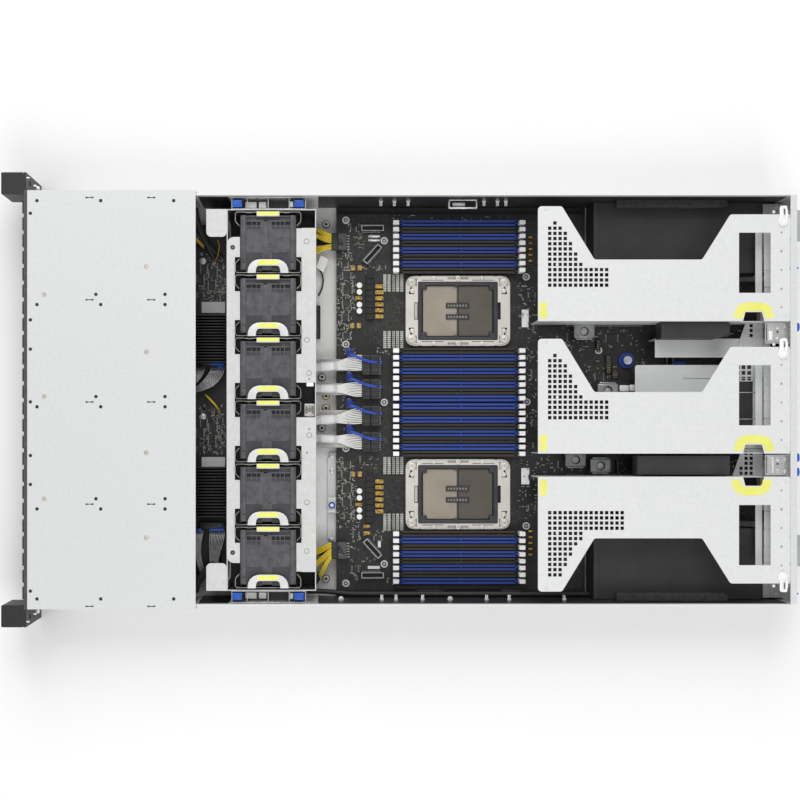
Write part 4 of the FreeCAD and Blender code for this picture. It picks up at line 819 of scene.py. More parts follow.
strip = [billet((203.6, 208.8), (-11.0, 133.0), (BOARD, BOARD + 3.5), 0.5)]
strip += [billet((208.0, 214.6), y, (BOARD, BOARD + 3.0), 0.5) for y in ((13.0, 42.6), (107.0, 132.0))]
fasten("board_edge_strip", strip, part_black)

# Bare paper labels lie between the left processor and its riser and round the right processor.

labels = [billet(x, y, (BOARD, BOARD + 0.18), 0.09, 1) for x, y in (
    ((-102.0, -82.4), (130.0, 137.6)), ((74.0, 92.0), (129.5, 138.5)), ((149.4, 162.2), (-29.8, -26.6)),
    ((182.8, 186.0), (-41.0, -27.6)))]
fasten("board_labels", labels, paper)

# Board connectors. Moulded black sockets on the main board, each with a sunken slot, a row of tinned contacts
# down both sides and a pale band painted on its top face as highlight; the two headers by the corners stand
# slanted. The power sockets are grey, with bent pins behind.

socket_grey = finish("power socket", (0.060, 0.057, 0.068), (0.098, 0.094, 0.110), 0.45, 0.0, 90, bump=0.06)
PIN_PITCH = 1.6
PLUG_PIN_PITCH = 2.5
shells, rim_highlights, pins = [], [], []
# (middle x, middle y, width, length, top, degrees turned)
header_places = ((-191.8, -36.0, 7.0, 25.4, 19.0, 0), (192.6, -36.0, 7.0, 25.4, 19.0, 0),
                 (-163.0, -36.0, 6.6, 25.6, 19.0, 48), (163.0, -36.0, 6.6, 25.6, 19.0, -48),
                 (-28.0, 293.4, 43.6, 8.4, 18.0, 0), (-87.9, 222.0, 7.4, 88.6, 21.0, 0),
                 (52.9, 222.0, 7.4, 88.6, 21.0, 0), (85.9, 222.0, 7.4, 88.6, 21.0, 0))
for x, y, wide, long, top, degrees in header_places:
    shell = brick(0, 0, wide, long, (BOARD, top), 0.4)
    cut_from(shell, [brick(0, 0, wide - 4.4, long - 4.8, (top - 3.5, top + 2), 0.3, 1)])
    # Painted highlight: a pale band on the socket's top face, round its slot.
    rim = brick(0, 0, wide - 0.4, long - 0.4, (top - 0.1, top + 0.12))
    cut_from(rim, [brick(0, 0, wide - 2.2, long - 2.6, (top - 2, top + 2))])
    rows = [brick(side * (wide / 2 + 0.35), n * PIN_PITCH - long / 2 + 2.0, 1.3, 0.7, (BOARD, BOARD + 0.5))
            for n in range(int(long / PIN_PITCH) - 2) for side in (-1, 1)]
    for made, group in ((shell, shells), (rim, rim_highlights), (as_one(rows), pins)):
        group.append(moved(made, x, y, 0, degrees))
for x in (-40.0, -13.4, 16.1, 44.7):
    for y, top in ((-43.0, 23.4), (-33.0, 24.6)):
        shells.append(press_in(brick(x, y, 21.6, 9.6, (BOARD + 0.05, top), 0.6), 0.9, 0.25, 5e-5))
        shells += [brick(x + u, y, 1.0, 7.2, (top - 0.6, top + 0.3), 0.2, 1) for u in (-8, 2.6, 8)]
    pins += [brick(x - 8.8 + n * PLUG_PIN_PITCH, -27.6, 1.2, 1.6, (BOARD, BOARD + 0.5)) for n in range(8)]
power_sockets = []
for x in (-176.5, 165.0):
    shells.append(press_in(brick(x, -78.15, 18.6, 7.7, (BOARD + 0.05, 21.0), 0.5), 0.8, 0.3))
    grey = billet((x - 9.2, x + 9.2), (-74.2, -64.7), (BOARD + 0.05, 22.0), 0.5)
    power_sockets.append(cut_from(grey, [billet((x - 2.2, x + 2.2), (-75, -70.6), (20.6, 24), 0.4, 1)]))
    for low in range(-8, 10, 3):
        pins.append(billet((x + low, x + low + 1.0), (-64.8, -61.8), (BOARD + 0.3, BOARD + 1.1), 0.2, 1))
        pins.append(billet((x + low, x + low + 1.8), (-62.2, -61.4), (BOARD, BOARD + 1.1), 0.2, 1))
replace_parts(fasten("connector_shells", shells, part_black), "board_connectors")
fasten("connector_rim_highlights", rim_highlights, print_and_rim_highlight)
fasten("connector_pins", pins, tin)
fasten("power_sockets", power_sockets, socket_grey)
plates = [press_in(billet(x, (-40.7, -27.4), (BOARD, BOARD + 1.4), 0.3), 0.5, 0.3)
          for x in ((-184.8, -181.8), (-180.4, -177.6))]
fasten("board_shield_plates", plates, bright_post)

# Processor sockets. A dark moulded tray holds the gilded contacts in two halves, a shallow rib between them
# and two small capacitor wells in the middle. Round it sits a nickel-plated steel frame with four corner
# nuts, wire clips, smaller studs on the long sides and a captive screw at each end.

socket_black = finish("socket plastic", (0.022, 0.022, 0.027), (0.042, 0.042, 0.050), 0.5, 0.0, 90, bump=0.1)
nickel = finish("nickel steel", (0.60, 0.575, 0.53), (0.74, 0.715, 0.67), 0.36, 0.25, 34, (1, 1, 1), 0.08,
                600)
well_grey = finish("well capacitors", (0.20, 0.18, 0.15), (0.34, 0.31, 0.27), 0.4, 0.2, 200)
dress(socket_black, "cpu_sockets")


def contact_field(name, dark, light):
    """Rows of tiny contacts: a grid of raised points over the moulding."""
    made = finish(name, dark, light, 0.42, 0.35, 30)
    tree = made.node_tree
    grid = add_node(tree, "TexBrick", {
        "Scale": 1.0, "Brick Width": 0.00094, "Row Height": 0.00081, "Mortar Size": 0.00016,
        "Color1": (1, 1, 1, 1), "Color2": (0.86, 0.86, 0.86, 1), "Mortar": (0.42, 0.42, 0.42, 1),
        "Vector": (tree.nodes["place"], "Object")}, offset=0.5)
    relief = add_node(tree, "Bump", {"Strength": 0.3, "Distance": 0.0003, "Height": (grid, "Color")})
    tree.links.new(relief.outputs["Normal"], tree.nodes["Principled BSDF"].inputs["Normal"])
    return lay_over(made, 1.0, (grid, "Color"))


# Painted light and shade: both halves hold the same gilded contacts; the front half is painted lit and the
# rear half in shade.
contacts_painted_lit = contact_field("contacts towards the front", (0.46, 0.40, 0.32), (0.58, 0.515, 0.42))
contacts_painted_shaded = contact_field("contacts towards the rear", (0.13, 0.110, 0.090), (0.20, 0.175, 0.145))

# One socket is made at the origin, then copied to both places.

SOCKET_Y = 58.4
corner = [(27.6, 57.8), (32.0, 57.4), (35.6, 55.6), (37.8, 52.6), (38.8, 48.0)]
frame_ring = sheet_cut(mirrored([(-u, a) for u, a in reversed(corner)] + corner), (14.0, 20.0))
round_edges(frame_ring, 0.35, 2)
cut_from(frame_ring, [brick(0, 0, 64.8, 88.4, (10, 24), 1.6)])
troughs = [billet((-9.6, 9.6), a, (10, 24), 0.5) for a in ((44, 47.4), (-48.4, -44))]
fixings = []
for side in (-1, 1):
    troughs.append(brick(side * 36.1, 0, 3.0, 23.0, (16.5, 24), 0.6))
    screw = turned(side * 36.0, 0, (18.2, 21.9), 2.9, 0.5, 24)
    fixings.append(cut_from(screw, [turned(side * 36.0, 0, (20.8, 24), 1.4, 0, 6)]))
    for end in (-1, 1):
        troughs.append(brick(side * 33.95, end * 28, 0.9, 24, (17.0, 24)))
        troughs.append(sheet_cut([(side * 28.4, end * 51.8), (side * 18.6, end * 48.4),
                                  (side * 18.6, end * 54.6)], (12.0, 24)))
        troughs.append(brick(side * 31.5, end * 46.3, 9.0, 1.4, (16.0, 24), 0.3))
        troughs.append(brick(side * 39.1, end * 42.0, 1.8, 3.0, (10, 24)))
        nut = turned(side * 31.6, end * 51.4, (19.4, 22.9), 3.7, 0.7, 24)
        fixings.append(cut_from(nut, [turned(side * 31.6, end * 51.4, (21.6, 24), 1.5, 0, 6)]))
        fixings.append(turned(side * 31.6, end * 51.4, (19.6, 20.5), 5.0, 0.3, 28))
        fixings.append(turned(side * 22.0, end * 50.6, (19.2, 21.8), 2.6, 0.5, 20))
        fixings.append(turned(side * 36.2, end * 26.6, (19.4, 21.2), 2.5, 0.6, 20))
        route = ((29.0, 55.6), (33.2, 56.2), (36.8, 53.0), (37.0, 48.0), (36.4, 44.0))
        fixings.append(round_wire([(side * u, end * a, 20.6) for u, a in route], 0.7, 2, 12, False))
cut_from(frame_ring, troughs)
take_hold(frame_ring)
bpy.ops.object.shade_flat()

spring_block = brick(0, -46.2, 18.0, 3.2, (13.0, 18.6), 0.4)
cut_from(spring_block, [brick(n * 2.6 - 7.6, -46.5, 1.2, 5.0, (17.4, 20)) for n in range(7)])
rim = brick(0, 0, 63.6, 86.8, (16.2, 19.2), 1.4)
cut_from(rim, [brick(0, 0, 56.8, 78.4, (15, 24), 3.2, 4)])
lugs = [brick(side * 26.4, end * 37.8, 6.0, 7.6, (16.2, 19.4), 1.6, 3) for side in (-1, 1) for end in (-1, 1)]
lugs += [brick(side * 28.3, -1.8, 3.4, 5.6, (16.2, 19.3), 0.8) for side in (-1, 1)]
lugs.append(brick(0, 0.1, 56.8, 2.2, (16.1, 17.4), 0.3))
well_parts = []
for x in (-6.1, 6.4):
    lugs.append(press_in(brick(x, -0.2, 5.8, 26.0, (16.1, 18.0), 0.5), 0.9, 0.9, 1e-5))
    well_parts += [brick(x, n * 3.2 - 10.2, 2.4, 2.0, (17.0, 17.7), 0.2, 1) for n in range(7)]
front_field = billet((-27.6, 27.6), (-38.4, -0.9), (16.02, 16.5), 0.2, 1)
rear_field = billet((-27.6, 27.6), (1.1, 38.4), (16.02, 16.5), 0.2, 1)

models = (("socket_frame", frame_ring, nickel, "nickel"),
          ("frame_fixings", as_one(fixings), nickel, "nickel"),
          ("spring_block", spring_block, nickel, "nickel"),
          ("socket_rim", as_one([rim] + lugs), socket_black, "socket_dark"),
          ("well_parts", as_one(well_parts), well_grey, "nickel"),
          ("front_contacts", front_field, contacts_painted_lit, "socket_dark"),
          ("rear_contacts", rear_field, contacts_painted_shaded, "socket_dark"))
for n, x in ((1, -99.9), (2, 102.8)):
    for name, model, surface, slot in models:
        fasten(f"{name}_{n}", [copy_of(model, x, SOCKET_Y)], surface)
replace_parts(bpy.data.objects["socket_frame_1"], "socket_frames")
clear_away(*[model for _, model, _, _ in models])

# Memory slots. Long moulded bars, royal blue and black in turn, each with a narrow card groove between two
# raised lips, a key in the groove and a row of contacts down each side; pale latches stand at both ends.

slot_blue = finish("slot blue", (0.005, 0.032, 0.24), (0.010, 0.060, 0.37), 0.45, 0.0, 30, (1, 0.05, 1))
slot_black = finish("slot black", (0.013, 0.012, 0.011), (0.028, 0.026, 0.024), 0.42, 0.0, 30, (1, 0.05, 1))
latch_white = finish("latch white", (0.90, 0.89, 0.87), (0.97, 0.965, 0.95), 0.38, 0.0, 60)
# Painted shade: the groove's floor takes a darker copy of the slot's colour, and the gold contacts down the
# groove are coloured dark brown for the shade there.
groove_shade_blue = finish("groove", (0.003, 0.012, 0.10), (0.006, 0.02, 0.15), 0.6, 0.0, 60)
groove_shade_black = finish("black groove", (0.004, 0.004, 0.004), (0.009, 0.009, 0.009), 0.6, 0.0, 60)
contact_gold_in_shade = finish("slot contacts", (0.10, 0.075, 0.04), (0.17, 0.13, 0.07), 0.35, 0.6, 300)
dress(slot_blue, "dimm_slots_blue")
dress(slot_black, "dimm_slots_black")

SLOT_PITCH = 7.48
blue_spots, black_spots = [], []
for start, blue_first in ((-196.4, True), (-55.5, False), (5.6, True), (146.1, False)):
    for n in range(8):
        (blue_spots if (n % 2 == 0) == blue_first else black_spots).append(start + n * SLOT_PITCH)
slot_spots = sorted(blue_spots + black_spots)

key_model = as_one([billet((-0.85, 0.85), (60.4, 62.6), (20.4, 23.7), 0.25, 1)]
                   + [brick(0, y, 5.9, 2.2, (20.6, 24.0), 0.3) for y in (-4.3, 122.1)])
# Painted shade: a dark strip on the floor of the card groove.
groove_shade_model = billet((-0.86, 0.86), (-5.2, 123.0), (20.05, 20.5), 0.1, 1)
line_model = as_one([brick(side * 0.74, y, 0.24, long, (20.4, 22.4))
                     for side in (-1, 1) for y, long in ((28.6, 63.2), (91.7, 57.8))])
for colour, spots, base, groove_shade, slot in (("blue", blue_spots, slot_blue, groove_shade_blue, "slot_blue"),
                                        ("black", black_spots, slot_black, groove_shade_black, "black_plastic")):
    fasten(f"slot_keys_{colour}", [copy_of(key_model, x) for x in spots], base)
    fasten(f"slot_groove_shade_{colour}", [copy_of(groove_shade_model, x) for x in spots], groove_shade)
fasten("slot_contacts", [copy_of(line_model, x) for x in slot_spots], contact_gold_in_shade)
clear_away(key_model, groove_shade_model, line_model)


def one_latch(end):
    """A latch: a tall rounded lever with a thumb pad on top, a card hook inside and a waist between."""
    y = -10.2 if end < 0 else 128.0
    section = ((14.1, -3.2), (29.8, -3.2), (30.4, 0.4), (30.4, 3.2), (18.4, 3.2), (14.1, 0.8))
    body = sheet_cut([(height, y + end * across) for height, across in section], (-2.45, 2.45))
    round_edges(moved(body, degrees=-90, axis="Y"), 0.4)
    pad = brick(0, y + end * 0.35, 4.9, 6.7, (27.0, 31.9), 0.7, 3)
    press_in(pad, 0.7, 0.35, 1e-5, 0.95)
    cut_from(body, [brick(-2.25, y, 1.5, 3.6, (19, 27)), brick(2.25, y, 1.5, 3.6, (19, 27)),
                    brick(0, y - end * 2.5, 1.4, 3.0, (17, 28))])
    return as_one([body, pad])


for end, place in ((-1, "front"), (1, "rear")):
    model = one_latch(end)
    latches = [copy_of(model, x) for x in slot_spots]
    row = fasten(f"slot_latches_{place}", latches, latch_white, f"{place}_slot_latches")
    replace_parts(row, f"dimm_latches_{place}")
    clear_away(model)

# Board lock. A galvanised strip with one end cut slanting, screwed to the tub before the board, and on it a
# white block with a blue ring that slides to hold the board.

dress(galvanised, "lock_strip")
dress(latch_white, "lock_slider")
fasten("lock_ring", [torus(115.2, -80.9, 13.4, 3.0, 1.1)], touch_blue, "board_lock")
ridges = [brick(x, -81.0, 0.8, 7.2, (13.3, 14.1), 0.25, 1) for x in (108.2, 109.8, 120.6, 122.2)]
fasten("lock_ridges", ridges, latch_white, "board_lock")
fasten("lock_screws", [washer_head(x, -81.0, 5.2, 2.6) for x in (60.0, 77.0, 154.0)], screw_steel)

# Cables between the fans and the main board. Four white ribbon-wire cables come out of pale sleeves and fan
# out into black plugs, each with a blue pull strap. Yellow wires feed the two power plugs. Wires lie on the
# floor between riveted posts.

wire_white = finish("white wire", (0.84, 0.83, 0.81), (0.95, 0.94, 0.92), 0.45, 0.0, 60)
sleeve_pale = finish("pale sleeve", (0.50, 0.52, 0.55), (0.76, 0.78, 0.80), 0.3, 0.0, 90, contrast=0.6)
strap_blue = finish("strap blue", (0.004, 0.035, 0.30), (0.010, 0.090, 0.62), 0.28, 0.0, 60, (1, 0.4, 1),
                    contrast=0.7)
leaf_navy = finish("leaf navy", (0.004, 0.012, 0.13), (0.010, 0.030, 0.24), 0.35, 0.0, 60)


def shade_between_wires(surface):
    """Painted shade: dark bands run along the cable, for the shade in the gaps between its wires."""
    tree = surface.node_tree
    bands = add_node(tree, "TexWave", {"Scale": 260, "Vector": (tree.nodes["place"], "Object")},
                     bands_direction="X")
    gap = add_node(tree, "ValToRGB", {"Fac": (bands, "Fac")})
    gap.color_ramp.elements[0].position = 0.10
    gap.color_ramp.elements[0].color = (0.10, 0.10, 0.10, 1)
    gap.color_ramp.elements[1].position = 0.55
    return lay_over(surface, 1.0, (gap, "Color"))


dress(shade_between_wires(finish("ribbon wire", (0.62, 0.61, 0.59), (0.74, 0.73, 0.71), 0.5, 0.0, 60)),
      "data_cables")
dress(sleeve_black, "power_cables")


def ribbon(points, wide, z):
    """A flat ribbon that follows (x, y) places."""
    left, right = [], []
    for n, spot in enumerate(points):
        along = Vector(points[min(n + 1, len(points) - 1)]) - Vector(points[max(n - 1, 0)])
        aside = Vector((-along.y, along.x)).normalized() * wide / 2
        left.append((spot[0] + aside.x, spot[1] + aside.y))
        right.append((spot[0] - aside.x, spot[1] - aside.y))
    return sheet_cut(left + right[::-1], z)


SLEEVE_END = -74.5
sleeves, labels, strands, leaves, straps = [], [], [], [], []
# (middle of the plug, the bundle's two edges at the sleeve, its two edges at the plug)
for x, bundle_low, bundle_high, low, high in ((-40.0, -44.4, -34.4, -51.0, -34.6),
                                              (-13.4, -18.2, -9.4, -20.8, -5.2),
                                              (16.1, 14.4, 24.4, 7.6, 24.6), (44.7, 37.8, 46.4, 36.2, 52.8)):
    start, half = (bundle_low + bundle_high) / 2, (bundle_high - bundle_low) / 2
    lean = (low + high) / 2 - start
    for z in (17.0, 22.2):
        first = [(bundle_low + 1, -76, z - 1), (bundle_low, -68, z + 1.5), (low - lean * 0.2, -60, z + 2),
                 (low, -54, z), (low + 0.6, -47.7, z - 1)]
        last = [(bundle_high - 1, -76, z - 1), (bundle_high - 0.6, -68, z + 1.5),
                (high - lean * 0.4, -60, z + 2), (high, -54, z), (high - 0.6, -47.7, z - 1)]
        strands += wire_fan(first, last, 9, 0.62)
    for fat, span, group in ((1.0, (-24.5, 0), sleeves), (1.03, (-18.5, -4.5), labels)):
        tube = lying(0, span, 0, half * fat, 0, 28)
        tube.data.transform(Matrix.Diagonal((1, 1, 0.72, 1)))
        group.append(moved(round_edges(tube, 0.5), start, SLEEVE_END, 20, math.degrees(-lean * 0.02)))
    leaf = [(x + u, y) for u, y in ((-20.2, -62.6), (-18.0, -59.4), (-14.0, -56.8), (-9.6, -57.2),
                                    (-8.2, -60.2), (-8.6, -64.0), (-12.0, -65.6), (-17.0, -65.4))]
    leaves.append(round_edges(sheet_cut(leaf, (24.6, 25.4)), 0.3))
    strap = [(x + u, y) for u, y in ((-10.6, -61.0), (-10.0, -56.0), (-7.6, -50.5), (-5.2, -45.0),
                                     (-3.6, -39.0), (-2.8, -31.5))]
    straps.append(round_edges(ribbon(strap, 2.8, (25.2, 26.2)), 0.35))
    straps.append(billet((x - 4.2, x - 1.2), (-28.6, -25.4), (20.0, 24.4), 0.6))
fasten("data_wires", strands, wire_white)
fasten("data_sleeves", sleeves, sleeve_pale)
fasten("data_sleeve_labels", labels, paper)
fasten("data_leaves", leaves, leaf_navy)
fasten("data_straps", straps, strap_blue)

POWER_PLUG_Y = -81.8


def feed_route(x, steps, z, y_shift=0.0):
    """A power wire's five places: (aside, y, rise) steps from its plug at x, then the plug."""
    return [(x + u, y + y_shift, z + rise) for u, y, rise in steps] + [(x, POWER_PLUG_Y, z - 2)]


strands = []
for z in (17.5, 20.5, 23.0):
    for low, high, bend in ((-184.6, -180.8, -6.0), (-179.4, -175.6, -4.5), (-172.6, -168.8, 3.0)):
        first = feed_route(low, ((bend, -99, -5), (bend * 0.95, -95, 0), (bend * 0.5, -90, 1), (0.4, -86, 0)),
                           z)
        last = feed_route(high, ((bend * 1.4, -98, -5), (bend, -94, 0), (bend * 0.3, -90, 1), (0, -86, 0)), z)
        strands += wire_fan(first, last, 3, 1.0)
    for low, high, steps in ((157.0, 161.0, ((8.5, -100.0, -4), (6.5, -95.5, 0), (3.2, -90.5, 1),
                                             (0.7, -86.0, 0))),
                             (163.2, 167.0, ((16.0, -100.0, -4), (12.5, -96.0, 0), (7.6, -91.0, 1),
                                             (2.0, -86.0, 0))),
                             (169.4, 173.2, ((22.5, -95.0, -4), (17.0, -92.4, 0), (9.6, -89.0, 1),
                                             (3.0, -85.4, 0)))):
        strands += wire_fan(feed_route(low, steps, z), feed_route(high, steps, z, 1.6), 3, 1.02)
fasten("feed_wires", strands, yellow_wire)
looms = [round_wire([(189.5, -93.2, 17), (195.5, -95.4, 16), (201.5, -99, 14), (206, -104, 11),
                     (208.5, -109.5, 8)], 3.0, 3),
         round_wire([(-150, -99, 8), (-146, -92, 7), (-138, -88, 5), (-128, -90, 4), (-118, -96, 4)], 0.9, 2)]
fasten("feed_looms", looms, sleeve_black)
tag = sheet_cut([(-162.4, -93.0), (-148.4, -98.6), (-143.0, -90.4), (-157.4, -84.6)], (13.6, 14.6))
fasten("cable_tag", [round_edges(tag, 0.4)], wire_white)
fasten("floor_line", [billet((-133, -107.5), (-98.6, -97.2), (1.3, 2.4), 0.3)], paper)
bar = press_in(billet((-107, -70), (-98.4, -93.6), (1.3, 9), 0.5), 0.8, 0.8)
fasten("floor_connector", [bar], part_black)
posts, post_shades = [], []
for x, y in ((-197.7, -87.4), (-27.3, -91.8), (29.5, -91.8), (197.6, -87.4), (-6.2, -87.4), (7.2, -87.4)):
    posts.append(cut_from(turned(x, y, (1.3, 6.6), 3.6, 0.3, 24), [turned(x, y, (1.2, 9.0), 1.6, 0, 16)]))
    # Painted shade: a black disc at the foot of each post's bore and a black ring round its base.
    post_shades.append(turned(x, y, (1.3, 2.4), 1.7, 0, 16))
    post_shades.append(turned(x, y, (1.3, 1.9), 4.4, 0.2, 24))
fasten("floor_posts", posts[:4], handle_white)
fasten("floor_brass_posts", posts[4:], passivated)
fasten("floor_post_shade", post_shades, black_and_painted_shade)
fasten("strip_clip", [billet((-24.0, -14.5), (-108.5, -101.0), (77, 80.6), 0.5)], latch_white)
bracket = billet((4.0, 17.5), (-111.0, -99.4), (70, 80.4), 0.8)
cut_from(bracket, [billet((6.6, 14.8), (-108.6, -101.6), (78.4, 84), 0.6)])
fasten("strip_bracket", [bracket], spring_steel)

# Card risers. Three galvanised sheets folded down at one side, with a slanted notch, a field of square holes
# and a window. Each has a yellow touch label round its finger notch and one by its front, five stamped
# dimples along the slot brackets, and a white turning latch on a riveted pivot.

riser_yellow = finish("riser label", (0.80, 0.80, 0.16), (0.88, 0.87, 0.24), 0.5, 0.0, 50, bump=0.05)
riser_sheet = finish("riser sheet", (0.725, 0.732, 0.733), (0.785, 0.790, 0.790), 0.46, 0.1, 300, bump=0.04,
                     bump_grain=1200)
RISER_TOP = 85.0
NOTCH_Y = 367.0
LABEL_Y = 143.05
LATCH_Y = 397.5
# Outlines in (from the riser's folded edge, from the line that they mirror on).
arch_outline = mirrored([(19.8, 7.4), (18.5, 13.4), (14.4, 18.2), (8.6, 20.7), (2.9, 21.2), (2.9, 12.0),
                         (7.4, 11.4), (9.9, 9.2), (10.8, 5.6)])
label_outline = mirrored([(19.9, 3.15), (19.2, 3.85), (3.6, 3.85), (2.9, 3.15)])
latch_outline = ((-5.2, 0.0), (-4.5, -2.6), (-2.6, -4.5), (0.0, -5.2), (3.0, -5.0), (5.4, -3.6), (14.6, -3.6),
                 (16.2, -2.6), (16.6, -0.6), (16.6, 3.4), (15.8, 4.4), (12.4, 4.6), (11.6, 5.2), (5.6, 5.2),
                 (4.0, 4.6), (2.6, 4.5), (0.0, 5.2), (-2.6, 4.5), (-4.5, 2.6))
for n, edge, side, shift in ((1, -83.7, -1, 0.0), (2, 57.1, -1, 0.0), (3, 81.7, 1, -2.6)):
    body = f"riser_{n}"
    dress(riser_sheet, f"riser_cage_{n}")
    labels = [sheet_cut([(edge + side * u, y + v) for u, v in outline], (RISER_TOP + 0.02, RISER_TOP + 0.2))
              for y, outline in ((NOTCH_Y + shift, arch_outline), (LABEL_Y, label_outline))]
    fasten(f"riser_labels_{n}", labels, riser_yellow, body)
    dots = [turned(edge + side * u, 396.2, (84.9, 85.12), 0.9, 0.06, 12)
            for u in (14.6, 34.4, 54.4, 74.3, 94.3)]
    dimples = [torus(edge + side * u, 396.2, RISER_TOP, 1.5, 0.35, 18) for u in (34.4, 74.3)]
    dimples += [turned(edge + side * u, y, (84.9, 85.35), 1.7, 0.18, 16)
                for u, y in ((118.6, 146.0), (116.0, 388.0), (6.0, 400.5), (60.0, 158.0))]
    fasten(f"riser_dimples_{n}", dimples, galvanised, body)
    fasten(f"riser_dots_{n}", dots, grey_ceramic, body)
    folds = [brick(edge + side * 55.75, 379.9, 86.5, 7.4, (57.4, 58.2), 0.25, 1),
             brick(edge + side * 55.75, 388.8, 86.5, 9.2, (62.4, 63.2), 0.25, 1)]
    folds += [brick(edge + side * u, 388.8, 1.2, 9.2, (62.8, 64.0), 0.2, 1)
              for u in (20.6, 38.6, 56.6, 74.6, 92.6)]
    fasten(f"riser_bracket_{n}", folds, riser_sheet, body)
    pivot = edge + side * 105.8
    arm = sheet_cut([(pivot + side * u, LATCH_Y + v) for u, v in latch_outline], (85.35, 86.85))
    round_edges(arm, 0.3)
    cut_from(arm, [brick(pivot + side * 9.8, 399.15, 7.2, 1.7, (84, 88.4), 0.4)])
    boss = press_in(turned(pivot, LATCH_Y, (86.7, 88.0), 3.4, 0.5, 24), 1.5, 0.5, steep=0.99)
    latch = fasten(f"riser_catch_plate_{n}", [arm, boss], latch_white, f"riser_catch_{n}")
    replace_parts(latch, f"riser_latch_{n}")

# Adaptor bay and the rear of the main board. A folded bay frame with a blue turning knob that holds the
# network adaptor, black foam-edged air ducts, tapered sheets full of square holes between the risers, clear
# plastic clips over the risers' plugs, and small connectors.

clear_plastic = finish("clear plastic", (0.20, 0.21, 0.21), (0.46, 0.47, 0.47), 0.12, 0.25, 90, contrast=0.8)
dress(galvanised, "rear_bay_frame")
dress(strap_blue, "board_knob")
dress(resist, "ocp_module")
dress(black_and_painted_shade, "air_ducts")
KNOB = (-45.2, 245.8)
collar = press_in(turned(*KNOB, (20.9, 22.4), 4.7, 0.4, 28), 1.1, 0.5, steep=0.99)
hub = cut_from(turned(*KNOB, (21.9, 23.2), 2.5, 0.4, 20), [turned(*KNOB, (22.4, 25.0), 1.2, 0, 6)])
fasten("knob_collar", [collar, hub], screw_steel, "bay_knob")

sheets = []
# (low x, high x, slanted edge at the low x, at the high x, middles of the holes in each row)
near_left = ((375.1,), (375.1,), (375.1,), (375.1,), (364.1, 369.6, 375.1))
near_right = ((369.6, 375.1), (369.6, 375.1), (369.6, 375.1), (364.1, 369.6, 375.1), (364.1, 369.6, 375.1))
for low, high, slant_low, slant_high, first_row, rows in ((-85.0, -59.6, 369.2, 360.2, -81.8, near_left),
                                                          (52.6, 81.6, 364.9, 354.7, 57.3, near_right)):
    sheet = sheet_cut([(low, slant_low), (high, slant_high), (high, 387.6), (low, 387.6)], (45.2, 46.2))
    holes = [brick(first_row + n * 5.4, y, 3.6, 3.6, (44, 48)) for n, row in enumerate(rows) for y in row]
    sheets.append(cut_from(sheet, holes))
    sheets += [brick(first_row + 2.65 + n * 2.5, 388.75, 1.3, 1.1, (44.6, 46.2), 0.2, 1) for n in range(9)]
fasten("perforated_sheets", sheets, cage_white)

clips, lids = [], []
for x, y in ((-76.5, 196.0), (64.6, 186.5), (71.0, 214.0), (-11.5, 222.0)):
    clips.append(cut_from(brick(x, y, 15.2, 22.8, (28.6, 33.0), 1.6, 3),
                          [turned(x, y, (26, 36), 5.0, 0, 28)]))
    clips += [brick(x + u, y, 2.0, 18.0, (27.0, 31.0), 0.4) for u in (-8.2, 8.2)]
    lids.append(turned(x, y, (24.0, 29.4), 4.6, 0.8, 24))
    lids.append(torus(x, y, 29.4, 3.2, 0.5, 22))
    lids.append(brick(x, y, 14.0, 2.4, (12.2, 26.0), 0.4, 1))
fasten("riser_plug_clips", clips, clear_plastic)
fasten("riser_plug_lids", lids, tin)

headers, rows = [], []
for x, y, wide, long in ((-41.0, 225.6, 20.0, 6.6), (-62.0, 214.0, 12.0, 5.0), (-30.0, 233.0, 8.0, 8.0),
                         (72.0, 236.0, 14.0, 5.0), (-93.0, 168.0, 16.0, 5.0), (26.0, 166.0, 22.0, 5.4),
                         (-28.0, 168.0, 20.0, 5.4), (96.0, 168.0, 18.0, 5.4)):
    headers.append(press_in(brick(x, y, wide, long, (12, 17.2), 0.4), 0.7, 1.2))
    rows += [brick(x - wide / 2 + 1.4 + n * 2, y, 0.8, long - 2.0, (16.0, 17.0), 0.1, 1)
             for n in range(int(wide / 2))]
fasten("rear_headers", headers, part_black)
fasten("rear_contacts", rows, tan_ceramic)
tabs = [brick(x, y, 6.8, 10.4, (30, 31.6), 0.8) for x, y in ((-14.0, 240.0), (-14.5, 251.0))]
tabs.append(billet((-74.0, -63.4), (385.0, 389.4), (75.2, 76.6), 0.5))
tabs += [billet(x, y, (75.2, 76.6), 0.2, 1)
         for x, y in (((58.8, 62.2), (385.0, 386.2)), ((61.0, 62.2), (385.2, 390.2)),
                      ((61.6, 78.0), (389.0, 390.2)))]
fasten("white_clips", tabs, latch_white)
fasten("adaptor_tab", [billet((-43.8, -40.2), (293.0, 309.0), (26.0, 28.0), 0.7)], strap_blue)
rails = [brick(x, 347.5, 1.0, 95.0, (44.9, 45.6), 0.2, 1) for x in (-24.4, -9.0, 20.0, 36.0)]
fasten("bay_folds", rails, bright_post)

# Painted shade: a black sheet across the bay's open void, seen under the lattice.
fasten("bay_painted_shade", [billet((-40.0, 27.0), (350.0, 377.0), (45.05, 45.35))], black_and_painted_shade)
lattice = billet((-40.0, -21.0), (350.0, 377.0), (45.5, 46.3))
cut_from(lattice, [brick(x, y, 4.2, 4.2, (44, 48))
                   for x in (-36.5, -30.3, -24.1) for y in (354.3, 360.5, 366.7, 372.9)])
fasten("lattice", [lattice], cage_white)
fasten("bay_edge", [billet((-21.0, 27.0), (350.5, 352.0), (45.3, 46.4), 0.2, 1)], cage_white)

# Small riveted plates join the risers' rails to the rear wall.

